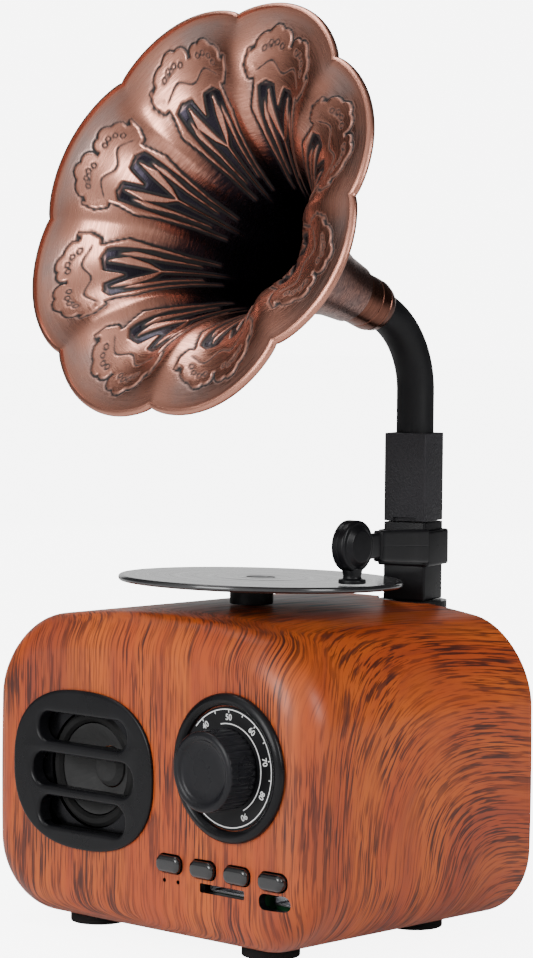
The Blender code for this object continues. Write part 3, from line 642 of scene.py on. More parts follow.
@dataclass(frozen=True)
class HornCopper(Finish):
    """Antique copper: painted highlight on the notch crests and the rolled rim, bright relief, dark patina
    in the ground and the throat.
    """

    patina: tuple[float, float, float] = (0.022, 0.019, 0.026)
    steel: tuple[float, float, float] = (0.40, 0.27, 0.24)

    def build(self, graph: Graph) -> bpy.types.Material:
        """Fill the graph from the stored relief, groove, patina and painted highlight values.

        Args:
            graph: the empty graph.

        Returns:
            The finished material.
        """
        relief = graph.attribute("relief")
        groove = graph.attribute("groove")
        dark = graph.attribute("patina")
        painted_highlight = graph.attribute("painted_highlight")
        flow = graph.node("Attribute", {}, attribute_name="flow").outputs["Vector"]
        brush = graph.noise(flow, 1.0, 3.0, 0.7)
        broad = graph.noise(graph.object_space((1.0, 1.0, 1.0)), 45.0, 4.0)
        ground = graph.blend(graph.ramp(broad, 0.3, 0.7), rgba(self.steel), rgba(self.colour))
        copper = graph.blend(graph.ramp(brush, 0.3, 0.7, 0.0, 0.4), rgba(self.colour),
                             rgba((0.2, 0.075, 0.05)))
        # Painted highlight: the notch crests and the rolled rim take plain bright copper instead of the
        # ground tone.
        lit = graph.blend(painted_highlight, ground, copper)
        stained = graph.math("ADD", dark, graph.ramp(brush, 0.25, 0.75, -0.13, 0.13))
        stained = graph.ramp(stained, 0.1, 0.9)
        base = graph.blend(stained, lit, rgba(self.patina))
        raised = graph.blend(graph.ramp(brush, 0.35, 0.75, 0.0, 0.35), rgba(self.colour),
                             rgba((0.16, 0.06, 0.04)))
        base = graph.blend(relief, base, raised)
        base = graph.blend(groove, base, rgba((0.006, 0.004, 0.004)))
        rough = graph.ramp(brush, 0.2, 0.8, self.roughness - 0.07, self.roughness + 0.1)
        graph.set(
            Base_Color=base,
            Roughness=graph.math("ADD", rough, graph.math("MULTIPLY", groove, 0.3)),
            Metallic=graph.ramp(groove, 0.0, 1.0, 1.0, 0.3),
        )
        graph.bump(brush, self.relief)
        return graph.made


@dataclass(frozen=True)
class RecordGloss(Finish):
    """Pressed black record: shallow concentric grooves between smoother bands."""

    pitch: float = 7000.0

    def build(self, graph: Graph) -> bpy.types.Material:
        """Fill the graph: a sine of the stored radius makes the grooves.

        Args:
            graph: the empty graph.

        Returns:
            The finished material.
        """
        radius = graph.attribute("lathe")
        groove = graph.math("SINE", graph.math("MULTIPLY", radius, self.pitch))
        bands = graph.noise(graph.node("CombineXYZ", {0: radius}).outputs[0], 420.0, 2.0)
        graph.set(
            Base_Color=graph.blend(graph.ramp(bands, 0.4, 0.6), rgba(self.colour),
                                   rgba((0.022, 0.022, 0.024))),
            Roughness=graph.ramp(bands, 0.35, 0.65, self.roughness, self.roughness + 0.1),
            Coat_Weight=self.coat,
            Coat_Roughness=0.08,
        )
        graph.bump(graph.math("MULTIPLY", groove, graph.ramp(bands, 0.4, 0.55)), self.relief)
        return graph.made


WOOD = WoodFilm("wood film", (0.37, 0.056, 0.011), roughness=0.42, coat=0.15, relief=0.00003, specular=0.35)
COPPER = HornCopper("antique copper", (0.56, 0.25, 0.18), roughness=0.27, metallic=1.0, relief=0.00003)
COLLAR = TurnedMetal("brushed collar", (0.24, 0.10, 0.07), roughness=0.28, metallic=1.0, relief=0.00002)
RECORD = RecordGloss("record gloss", (0.012, 0.012, 0.013), roughness=0.2, coat=0.6, relief=0.00001)
SATIN = Finish("satin black", (0.005, 0.005, 0.006), roughness=0.34, relief=0.00001, grain=1500.0,
               specular=0.2)
GRAPHITE = Finish("graphite moulding", (0.005, 0.005, 0.006), roughness=0.3, relief=0.00001, grain=1600.0,
                  specular=0.2)
KNOB_GREY = Finish("knob grey", (0.010, 0.010, 0.012), roughness=0.32, relief=0.00001, grain=1800.0,
                   specular=0.2)
SPARKED = Finish("spark-textured black", (0.022, 0.021, 0.024), roughness=0.45, grain=1300.0,
                 relief=0.00016, specular=0.2)
GLOSS = Finish("gloss black", (0.006, 0.006, 0.007), roughness=0.14, coat=0.5, relief=0.000004)
RUBBER = Finish("black rubber", (0.008, 0.008, 0.008), roughness=0.75, relief=0.00005, specular=0.2)
PIPE_BLACK = Finish("matt pipe black", (0.006, 0.006, 0.007), roughness=0.55, relief=0.00003, grain=700.0,
                    specular=0.2)
DIAL = Finish("dial ground", (0.006, 0.006, 0.007), roughness=0.45, relief=0.00001, specular=0.2)
WHITE = Finish("white print", (0.80, 0.80, 0.80), roughness=0.5, relief=0.000005, mottle=0.03)
STEEL = Finish("plated steel", (0.58, 0.58, 0.60), roughness=0.25, metallic=1.0, mottle=0.08)
DARK_STEEL = Finish("blackened steel", (0.10, 0.10, 0.105), roughness=0.32, metallic=1.0, mottle=0.2)
# Painted shade: the speaker basket's metal is darkened almost to black to stand for the dark inside of the
# cabinet; its glints stay.
SHADED_BASKET = Finish("basket with painted shade", (0.022, 0.022, 0.024), roughness=0.25, metallic=1.0, mottle=0.2)
CONE = Finish("pulp cone", (0.03, 0.03, 0.03), roughness=0.85, grain=500.0, relief=0.0001)
BOARD = Finish("circuit board", (0.015, 0.09, 0.035), roughness=0.4, coat=0.3)
CELL = Finish("cell wrap", (0.03, 0.09, 0.3), roughness=0.3, coat=0.3)
WIRE = Finish("red insulation", (0.35, 0.02, 0.02), roughness=0.45)
COIL = Finish("enamelled copper", (0.45, 0.18, 0.09), roughness=0.3, metallic=1.0)
SMOKE = Finish("smoked plastic", (0.05, 0.05, 0.05), roughness=0.2, coat=0.4)


# ---------------------------------------------------------------- sub-assemblies


@dataclass
class Cabinet:
    """Rounded shell in wood film, with its openings, feet and the hardware at its back."""

    top_radius: float = 21.4
    low_radius: float = 21.5
    crown: float = 6.9
    bulge: float = 1.0
    fillet: float = 11.1
    back_chamfer: float = 0.9
    wall: float = 2.5
    corner_steps: int = 26
    edge_steps: int = 44
    side_steps: int = 24
    arc_centre_depth: float = 92.0
    arc_centre_rise: float = 2.0
    arc_slope: float = 0.14
    arc_softness: float = 7.0

    def __post_init__(self) -> None:
        """Take the outer sizes from the CAD shell."""
        self.low, self.high = low_high("cabinet_shell")
        self.centre = (self.low[0] + self.high[0]) / 2
        self.width = self.high[0] - self.low[0] - 2 * self.bulge
        self.height = self.high[2] - self.low[2] - self.crown
        self.front, self.back = self.low[1], self.high[1]
        self.level = self.low[2] + self.height / 2

    def profile(self) -> tuple[np.ndarray, np.ndarray]:
        """Section seen from the front.

        A rounded rectangle whose top rises by crown * (1 - (2x/W)^2) and whose sides swell by
        bulge * (1 - (2z/H)^2).

        Returns:
            The points (x, z) about the cabinet's middle, and their outward normals.
        """
        rows, normals = [], []
        quarter = np.linspace(0.0, math.pi / 2, self.corner_steps)
        signs = ((1, 1), (-1, 1), (-1, -1), (1, -1))
        for i, (sx, sz) in enumerate(signs):
            radius = self.top_radius if sz > 0 else self.low_radius
            angle = quarter + i * math.pi / 2
            x = sx * (self.width / 2 - radius) + radius * np.cos(angle)
            z = sz * (self.height / 2 - radius) + radius * np.sin(angle)
            rows.append(np.stack([x, z], -1))
            normals.append(np.stack([np.cos(angle), np.sin(angle)], -1))
            follow = signs[(i + 1) % 4]
            radius = self.top_radius if follow[1] > 0 else self.low_radius
            turn = (i + 1) * math.pi / 2
            x_end = follow[0] * (self.width / 2 - radius) + radius * math.cos(turn)
            z_end = follow[1] * (self.height / 2 - radius) + radius * math.sin(turn)
            steps = self.edge_steps if i % 2 == 0 else self.side_steps
            share = np.linspace(0.0, 1.0, steps + 1)[1:-1, None]
            rows.append(rows[-1][-1] * (1 - share) + np.array([x_end, z_end]) * share)
            normals.append(np.repeat(normals[-1][-1:], steps - 1, 0))
        points, normal = np.concatenate(rows), np.concatenate(normals)
        across, along = 2 * points[:, 0] / self.width, 2 * points[:, 1] / self.height
        lift = np.where(points[:, 1] > 0, self.crown, 0.0) * (1 - across**2) * along
        swell = self.bulge * (1 - along**2) * across
        return points + np.stack([swell, lift], -1), normal

    def rings(self, offset: float, back: float) -> np.ndarray:
        """Rings from the front panel to the back edge of a shell drawn in by the offset.

        Args:
            offset: distance inside the outer skin.
            back: depth of the last ring.

        Returns:
            The rings.
        """
        points, normal = self.profile()
        fillet = self.fillet - offset
        angle = np.linspace(math.pi / 2, 0.0, 13)
        depth = self.front + offset + fillet * (1 - np.sin(angle))
        drawn = offset + fillet * (1 - np.cos(angle))
        straight = np.linspace(depth[-1], back, 18)[1:]
        depth = np.concatenate([depth, straight])
        drawn = np.concatenate([drawn, np.full(len(straight), offset)])
        section = points[None] - normal[None] * drawn[:, None, None]
        y = np.broadcast_to(depth[:, None], section.shape[:2])
        return np.stack([section[..., 0] + self.centre, y, section[..., 1] + self.level], -1)

    def unroll(self, x: np.ndarray, z: np.ndarray) -> np.ndarray:
        """Length round the section, from the bottom of the right side up and over the top.

        The nearest point (cx, cz) of the inner rectangle and the direction t from it give the length
        R t + a(cz) + b(cx); the seam lies in the middle of the underside.

        Args:
            x: distance from the middle.
            z: height above the underside.

        Returns:
            The lengths.
        """
        radius = (self.top_radius + self.low_radius) / 2
        side, top = self.width / 2 - radius, self.height - radius
        cx, cz = np.clip(x, -side, side), np.clip(z, radius, top)
        turn = np.arctan2(z - cz, x - cx)
        turn = np.where((turn < 0.0) & (x < 0.0), turn + math.tau, turn)
        upright = np.where(turn <= math.pi / 2, cz, 2 * top - cz)
        level = np.where(turn < 0.0, cx - side, np.where(turn <= math.pi, side - cx, 3 * side + cx))
        return radius * turn + upright + level

    def grain(self, points: np.ndarray) -> np.ndarray:
        """Across and along coordinates of the printed grain, in metres.

        On the front the grain is upright. Elsewhere it is upright near the front, turns through a
        round corner and runs level to the back: across is minus (ahead^3 + above^3)^(1/3) of the
        softly clipped distances from a point low at the back on the unrolled skin, and along is their
        unclipped difference. The two are blended over the front edge.

        Args:
            points: points of the skin in millimetres.

        Returns:
            One (across, along) row per point.
        """
        x, z = points[:, 0] - self.centre, points[:, 2] - self.low[2]
        deep = points[:, 1] - self.front
        half = self.width / 2
        unrolled = self.unroll(x, z)
        forward = self.arc_centre_depth - deep
        up = unrolled - self.arc_centre_rise - self.arc_slope * forward
        soft = self.arc_softness
        ahead = np.logaddexp(0.0, forward / soft) * soft
        above = np.logaddexp(0.0, up / soft) * soft
        across = half + self.arc_centre_depth - np.cbrt(ahead**3 + above**3)
        along = up - forward + self.height
        share = smooth_step(1.0, 22.0, deep)
        lean = 0.06 * np.sin(z / 31.0) + 0.04 * np.sin(z / 13.0 + 1.0)
        front = x + 14.0 * lean
        mixed = np.stack([front * (1 - share) + across * share, z * (1 - share) + along * share], -1)
        return mixed * MM

    def prism(self, outline: np.ndarray, node: str) -> bpy.types.Mesh:
        """Cutter through the front panel.

        Args:
            outline: points (x, z) of the hole.
            node: CAD node whose box gives the middle.

        Returns:
            The cutter's mesh.
        """
        centre = middle(node)
        ring = np.stack([outline[:, 0] + centre[0], 0.0 * outline[:, 0], outline[:, 1] + centre[2]], -1)
        low, high = ring.copy(), ring.copy()
        low[:, 1], high[:, 1] = self.front - 3.0, self.front + self.wall + 3.0
        return build_mesh("cutter", np.stack([low, high]), False, None)

    def cutters(self) -> list[bpy.types.Mesh]:
        """Every opening of the shell.

        Returns:
            The cutters' meshes.
        """
        found = [
            self.prism(superellipse(52.2, 40.3, 2.45, 90), "grille"),
            self.prism(superellipse(34.0, 34.0, 2.0, 96), "dial_bezel"),
        ]
        for i in range(4):
            found.append(self.prism(rounded_rectangle(10.0, 5.7, 2.4), f"key_{i + 1}"))
        for node in ("status_light", "microphone"):
            found.append(self.prism(superellipse(1.25, 1.25, 2.0, 24), node))
        found.append(self.prism(rounded_rectangle(17.4, 2.6, 0.4), "card_socket"))
        found.append(self.prism(rounded_rectangle(10.6, 4.6, 2.1), "usb_socket"))
        post = middle("post")
        column = turn_profile(np.array([[10.8, 60.0], [10.8, 110.0]]), 96)
        found.append(build_mesh("cutter", column, False, Matrix.Translation((post[0], post[1], 0.0))))
        return found

    def build(self) -> None:
        """Make the shell and dress everything fixed to it."""
        outer = self.rings(0.0, self.back - self.back_chamfer)
        lip = self.rings(self.back_chamfer, self.back)
        inner = self.rings(self.wall, self.back)
        rings = np.concatenate([outer, lip[-1:], inner[::-1]])
        mesh = build_mesh("wood_cabinet", rings, False, None)
        shell = link("wood_cabinet", mesh)
        self.store_grain(shell.data)
        self.mark_bare(mesh, len(outer) * outer.shape[1])
        cutters = self.cutters()
        for cutter in cutters:
            self.mark_bare(cutter, 0)
        carve(shell, cutters)
        shell.modifiers.new("even_shading", "WEIGHTED_NORMAL").keep_sharp = True
        piece = Piece("wood_cabinet", shell.data, WOOD, Body.CABINET.value, ("cabinet_shell",),
                      "wood_film", 40.0)
        piece.declare(shell)
        apply_modifiers(shell)
        self.feet()
        self.back_hardware()

    def mark_bare(self, mesh: bpy.types.Mesh, filmed: int) -> None:
        """Give the faces that carry no film the bare black finish.

        Args:
            mesh: the shell, or a cutter whose faces become the walls of a hole.
            filmed: how many of its first faces carry the film, besides the front panel.
        """
        mesh.materials.append(WOOD.material())
        mesh.materials.append(SATIN.material())
        index = np.ones(len(mesh.polygons), np.int32)
        index[:filmed] = 0
        if filmed:
            index[-2] = 0
        mesh.polygons.foreach_set("material_index", index)

    def store_grain(self, mesh: bpy.types.Mesh) -> None:
        """Write the grain coordinates into a UV map.

        Args:
            mesh: the shell's mesh.
        """
        count = len(mesh.vertices)
        flat = np.empty(count * 3)
        mesh.vertices.foreach_get("co", flat)
        grain = self.grain(flat.reshape(-1, 3) / MM)
        corner = np.empty(len(mesh.loops), np.int32)
        mesh.loops.foreach_get("vertex_index", corner)
        layer = mesh.uv_layers.new(name="grain")
        layer.data.foreach_set("uv", grain[corner].astype(np.float32).ravel())

    def feet(self) -> None:
        """Round rubber feet with a soft lower edge."""
        for i in range(4):
            node = f"foot_{i + 1}"
            low, high = low_high(node)
            radius = (high[0] - low[0]) / 2
            top = self.low[2] - 0.1
            corners = [(0.6, 0.0, 0.0), (radius - 2.4, 0.0, 0.3), (radius - 2.1, 0.35, 0.3),
                       (radius, 0.1, 0.7),
                       (radius, top, 0.3), (0.6, top, 0.0)]
            rings = turn_profile(soften(corners, closed=False), 72)
            centre = (low + high) / 2
            place = Matrix.Translation((centre[0], centre[1], 0.0))
            mesh = build_mesh(f"rubber_{node}", rings, False, place)
            Piece(f"rubber_{node}", mesh, RUBBER, Body.CABINET.value, (node,), "foot_rubber").place()

    def back_hardware(self) -> None:
        """Detailed screws for the back cover and the post socket."""
        for node in [f"cover_screw_{i + 1}" for i in range(4)] + ["socket_screw_1", "socket_screw_2"]:
            low, high = low_high(node)
            self.screw(node, (low + high) / 2, high[1])

    def screw(self, node: str, centre: np.ndarray, tip: float) -> None:
        """Pan-head screw with a cross recess.

        Args:
            node: the CAD node it stands for.
            centre: middle of that node.
            tip: depth of the outer face of the head.
        """
        corners = [(1.0, -9.0, 0.0), (1.0, -1.5, 0.0), (2.7, -1.5, 0.0), (2.7, -0.7, 0.5), (1.7, 0.0, 0.6),
                   (0.3, 0.0, 0.0)]
        place = Matrix.Translation((centre[0], tip, centre[2])) @ Matrix.Rotation(math.radians(-90.0), 4,
                                                                                  "X")
        obj = link(f"{node}_head",
                   build_mesh(node, turn_profile(soften(corners, closed=False), 48), False, place))
        cuts = []
        for wide, high in ((2.6, 0.6), (0.6, 2.6)):
            section = rounded_rectangle(wide, high, 0.15, 3)
            cuts.append(build_mesh("cutter", loft(section, np.array([[0.0, -0.9], [0.0, 1.0]])), False,
                                   place))
        carve(obj, cuts)
        Piece(obj.name, obj.data, DARK_STEEL, Body.CABINET.value, (node,), "screw_steel").declare(obj)


@dataclass
class Grille:
    """Squircle plate with a rolled edge and three slots with rounded lips."""

    power: float = 2.45
    lip: float = 1.1
    slots: tuple[tuple[float, float, float], ...] = ((11.55, 18.7, 4.35), (-1.05, 21.2, 4.9),
                                                     (-13.3, 18.1, 4.5))

    def build(self) -> None:
        """Make the plate and carve the slots."""
        low, high = low_high("grille")
        width, height = high[0] - low[0], high[2] - low[2]
        centre = (low + high) / 2
        place = Matrix.Translation((centre[0], low[1], centre[2])) @ FRONT_FACING
        outline = superellipse(width, height, self.power, 200)
        levels = soften([(3.7, -4.4, 0.0), (3.7, -1.0, 0.1), (0.0, -1.0, 0.05), (0.0, 0.0, 1.1),
                         (3.0, 0.0, 0.0)],
                        7, closed=False)
        plate = link("grille_plate", build_mesh("grille_plate", loft(outline, levels), False, place))
        cuts = [self.slot_cutter(place, *slot) for slot in self.slots]
        carve(plate, cuts)
        piece = Piece(plate.name, plate.data, GRAPHITE, Body.CABINET.value, ("grille",), "grille_black",
                      50.0)
        piece.declare(plate)

    def slot_cutter(self, place: Matrix, z: float, half_width: float, half_height: float) -> bpy.types.Mesh:
        """Stadium whose mouth flares by a quarter circle, which leaves a rounded lip.

        Args:
            place: placement of the plate's face.
            z: height of the slot above the plate's middle.
            half_width: half the slot's width.
            half_height: half its height.

        Returns:
            The cutter's mesh.
        """
        outline = rounded_rectangle(2 * half_width, 2 * half_height, half_height * 0.97, 14)
        angle = np.linspace(0.0, math.pi / 2, 7)
        flare = np.stack([-self.lip * (1 - np.cos(angle)), -self.lip * (1 - np.sin(angle))], -1)
        levels = np.concatenate([[[0.0, -6.0]], flare, [[-self.lip, 1.0]]])
        rings = loft(outline, levels)
        rings[..., 1] += z
        return build_mesh("cutter", rings, False, place)


@dataclass
class Dial:
    """Bezel, printed face with scale and numbers, and the fluted knob."""

    outer_arc: float = 16.6
    inner_arc: float = 12.6
    line: float = 0.3
    number_radius: float = 14.35
    number_size: float = 2.45
    number_step: float = 38.5
    flutes: int = 36
    flute_depth: float = 0.3
    print_height: float = 0.04

    def __post_init__(self) -> None:
        """Take the places from the CAD parts."""
        self.low, self.high = low_high("dial_bezel")
        self.centre = (self.low + self.high) / 2
        self.radius = (self.high[0] - self.low[0]) / 2
        self.face = low_high("dial_face")[0][1]

    def build(self) -> None:
        """Make bezel, face, print and knob."""
        back = self.high[1]
        place = Matrix.Translation((self.centre[0], back, self.centre[2])) @ FRONT_FACING
        r = self.radius
        corners = [(r, 0.0, 0.1), (r, 1.3, 1.0), (r - 1.3, 2.15, 0.9), (r - 2.2, 2.15, 0.6),
                   (r - 3.4, 1.0, 0.3),
                   (r - 3.45, 0.0, 0.0)]
        bezel = build_mesh("dial_bezel_ring", turn_profile(soften(corners), 180), True, place)
        Piece("dial_bezel_ring", bezel, GRAPHITE, Body.CABINET.value, ("dial_bezel",), "bezel_gloss").place()
        corners = [(4.4, 0.0, 0.0), (17.35, 0.0, 0.0), (17.35, 0.55, 0.1), (17.0, 0.6, 0.0), (4.4, 0.6, 0.0)]
        disc = build_mesh("dial_ground", turn_profile(soften(corners), 120), True, place)
        Piece("dial_ground", disc, DIAL, Body.CABINET.value, ("dial_face",), "dial_print").place()
        self.scale_print()
        self.knob()

    def arc(self, radius: float, start: float, end: float) -> np.ndarray:
        """Rings of a thin flat band that follows a circle, clockwise from the top.

        Args:
            radius: middle radius of the band.
            start: first angle in degrees.
            end: last angle in degrees.

        Returns:
            The rings, in the face's frame.
        """
        angle = np.radians(90.0 - np.linspace(start, end, 140))
        half, thick = self.line / 2, self.print_height
        section = np.array([[-half, 0.0], [half, 0.0], [half, thick], [-half, thick]])
        reach = radius + section[None, :, 0]
        x, y = reach * np.cos(angle)[:, None], reach * np.sin(angle)[:, None]
        return np.stack([x, y, np.broadcast_to(section[None, :, 1], x.shape)], -1)

    def tick(self, degrees: float, length: float) -> np.ndarray:
        """Rings of a short radial bar that starts on the outer arc.

        Args:
            degrees: its angle clockwise from the top.
            length: how far it reaches inwards.

        Returns:
            The rings, in the face's frame.
        """
        angle = math.radians(90.0 - degrees)
        along = np.array([math.cos(angle), math.sin(angle), 0.0])
        side = np.array([-along[1], along[0], 0.0]) * self.line / 2
        up = np.array([0.0, 0.0, self.print_height])
        rings = []
        for reach in (self.outer_arc - length, self.outer_arc):
            rings.append([along * reach - side, along * reach + side, along * reach + side + up,
                          along * reach - side + up])
        return np.array(rings)

    def scale_print(self) -> None:
        """Arcs, ticks and numbers of the scale as one raised print."""
        place = Matrix.Translation((self.centre[0], self.face - 0.01, self.centre[2])) @ FRONT_FACING
        bars = [self.arc(self.outer_arc, -50.0, 219.0), self.arc(self.inner_arc, -14.0, 152.0)]
        for i in range(8):
            degrees = -self.number_step + i * self.number_step / 2
            if degrees < 160.0:
                bars.append(self.tick(degrees, 0.9))
        parts = [build_mesh("print", bar, False, place) for bar in bars]
        parts += [self.number(40 + 10 * i, (i - 1) * self.number_step, place) for i in range(6)]
        obj = link("dial_scale", join_meshes("dial_scale", parts))
        Piece(obj.name, obj.data, WHITE, Body.CABINET.value, (), "dial_print").declare(obj)

    def number(self, value: int, degrees: float, place: Matrix) -> bpy.types.Mesh:
        """One number of the scale, its top towards the rim.

        Args:
            value: the number.
            degrees: its angle clockwise from the top.
            place: placement of the face.

        Returns:
            The number's mesh.
        """
        text = bpy.data.curves.new(f"number_{value}", "FONT")
        text.body = str(value)
        text.size = self.number_size * MM
        text.align_x, text.align_y = "CENTER", "CENTER"
        text.extrude = 0.02 * MM
        text.offset = 0.035 * MM
        obj = link_curve(text)
        graph = bpy.context.evaluated_depsgraph_get()
        mesh = bpy.data.meshes.new_from_object(obj.evaluated_get(graph))
        bpy.data.objects.remove(obj)
        turn = Matrix.Rotation(math.radians(-degrees), 4, "Z")
        metres = place.copy()
        metres.translation = place.translation * MM
        mesh.transform(metres @ turn @ Matrix.Translation((0.0, self.number_radius * MM, 0.00003)))
        return mesh

    def knob(self) -> None:
        """Fluted knob: r = R - depth * (0.5 - 0.5 cos(n a))^4, with a dished face, and its shaft."""
        low, high = low_high("knob")
        radius = (high[0] - low[0]) / 2
        tall = high[1] - low[1]
        corners = [(3.2, 5.6, 0.0), (3.2, 0.0, 0.1), (radius, 0.0, 0.3), (radius, tall - 0.9, 0.3),
                   (radius - 0.15, tall - 0.5, 0.4), (radius - 1.0, tall, 0.7), (radius - 2.1, tall - 0.25,
                                                                                 0.9),
                   (radius - 2.9, tall - 1.15, 0.8), (radius - 5.0, tall - 1.35, 1.0), (0.5, tall - 1.3,
                                                                                        0.0)]
        profile = soften(corners, 6, closed=False)
        rings = turn_profile(profile, self.flutes * 12)
        angle = np.arange(self.flutes * 12) * math.tau / 12
        flute = (0.5 - 0.5 * np.cos(angle)) ** 4
        side = smooth_step(radius - 0.45, radius - 0.05, profile[:, 0])
        side *= smooth_step(tall - 0.6, tall - 1.4, profile[:, 1])
        rings[..., :2] *= (1.0 - self.flute_depth / radius * flute[None] * side[:, None])[..., None]
        place = Matrix.Translation((self.centre[0], high[1], self.centre[2])) @ FRONT_FACING
        knob = build_mesh("tuning_knob", rings, False, place)
        Piece("tuning_knob", knob, KNOB_GREY, Body.KNOB.value, ("knob",), "knob_black").place()
        low, high = low_high("pot_shaft")
        shaft = soften([(0.3, 0.0, 0.0), (3.0, 0.0, 0.2), (3.0, high[1] - low[1], 0.3),
                        (0.3, high[1] - low[1], 0.0)],
                       closed=False)
        place = Matrix.Translation((self.centre[0], high[1], self.centre[2])) @ FRONT_FACING
        mesh = build_mesh("knob_shaft", turn_profile(shaft, 48), False, place)
        Piece("knob_shaft", mesh, STEEL, Body.KNOB.value, ("pot_shaft",), "shaft_steel").place()


def link_curve(data: bpy.types.Curve) -> bpy.types.Object:
    """Put a curve into the scene and update it.

    Args:
        data: the curve.

    Returns:
        The object.
    """
    obj = bpy.data.objects.new(data.name, data)
    bpy.context.scene.collection.objects.link(obj)
    bpy.context.view_layer.update()
    return obj


def join_meshes(name: str, parts: list[bpy.types.Mesh]) -> bpy.types.Mesh:
    """One mesh holding all the parts.

    Args:
        name: name of the new mesh.
        parts: the meshes, in the same frame.

    Returns:
        The joined mesh.
    """
    points, faces, start = [], [], 0
    for part in parts:
        flat = np.empty(len(part.vertices) * 3)
        part.vertices.foreach_get("co", flat)
        points.append(flat.reshape(-1, 3))
        faces += [[start + v for v in polygon.vertices] for polygon in part.polygons]
        start += len(part.vertices)
    mesh = bpy.data.meshes.new(name)
    mesh.from_pydata(np.concatenate(points).tolist(), [], faces)
    mesh.update()
    return mesh


@dataclass
class Keys:
    """Four glossy key caps with chamfered, slightly domed tops."""

    width: float = 9.2
    height: float = 4.9

    def build(self) -> None:
        """Make every key."""
        for i in range(4):
            node = f"key_{i + 1}"
            low, high = low_high(node)
            centre = (low + high) / 2
            place = Matrix.Translation((centre[0], low[1], centre[2])) @ FRONT_FACING
            deep = high[1] - low[1]
            corners = [(0.8, -deep, 0.0), (0.0, -deep + 2.0, 0.2), (0.0, -0.75, 0.35), (0.75, -0.08, 0.4),
                       (1.9, 0.0, 0.0)]
            outline = rounded_rectangle(self.width, self.height, 2.1, 12)
            mesh = build_mesh(f"key_cap_{i + 1}", loft(outline, soften(corners, 6, closed=False)), False,
                              place)
            Piece(f"key_cap_{i + 1}", mesh, GLOSS, node, (node,), "key_gloss", 50.0).place()


@dataclass
class Turntable:
    """Pedestal, record and the pin that holds it."""

    def build(self) -> None:
        """Make the three pieces."""
        pivot, axis = joint_frame("record_spin")
        lean = along_axis(pivot, axis)
        low, high = low_high("record")
        r = (high[0] - low[0]) / 2
        corners = [(2.2, -1.1, 0.0), (2.2, -1.8, 0.1), (r - 0.5, -1.8, 0.3), (r, -1.3, 0.5), (r, -0.45, 0.5),
                   (r - 0.55, 0.0, 0.4), (r - 1.9, -0.02, 0.0), (r - 2.4, -0.08, 0.2), (15.0, -0.08, 0.2),
                   (14.5, 0.0, 0.1), (4.35, 0.0, 0.1), (4.3, -1.1, 0.0)]
        profile = soften(corners, 5)
        mesh = build_mesh("record_disc", turn_profile(profile, 240), True, lean)
        store_value(mesh, "lathe", np.repeat(profile[:, 0] * MM, 240))
        Piece("record_disc", mesh, RECORD, Body.RECORD.value, ("record",), "record_vinyl").place()
        low, high = low_high("pedestal")
        centre = (low + high) / 2
        tall = high[2] - low[2]
        corners = [(2.2, 0.0, 0.0), (2.2, 6.0, 0.0), (6.5, 6.0, 0.2), (6.5, tall, 0.5), (2.2, tall, 0.0)]
        place = Matrix.Translation((centre[0], centre[1], low[2]))
        mesh = build_mesh("record_pedestal", turn_profile(soften(corners, closed=False), 96), False, place)
        Piece("record_pedestal", mesh, SATIN, Body.CABINET.value, ("pedestal",), "pedestal_black").place()
        corners = [(1.6, -2.0, 0.0), (1.6, -0.8, 0.0), (3.9, -0.8, 0.1), (3.9, -0.1, 0.3), (0.4, -0.05, 0.0)]
        mesh = build_mesh("spindle_pin_head", turn_profile(soften(corners, closed=False), 64), False, lean)
        Piece("spindle_pin_head", mesh, SATIN, Body.CABINET.value, ("spindle_pin",),
              "pedestal_black").place()


def store_value(mesh: bpy.types.Mesh, name: str, values: np.ndarray) -> None:
    """Write one number per point into a mesh attribute."""
    layer = mesh.attributes.new(name, "FLOAT", "POINT")
    layer.data.foreach_set("value", values.astype(np.float32))


def store_vector(mesh: bpy.types.Mesh, name: str, values: np.ndarray) -> None:
    """Write one vector per point into a mesh attribute."""
    layer = mesh.attributes.new(name, "FLOAT_VECTOR", "POINT")
    layer.data.foreach_set("vector", values.astype(np.float32).ravel())


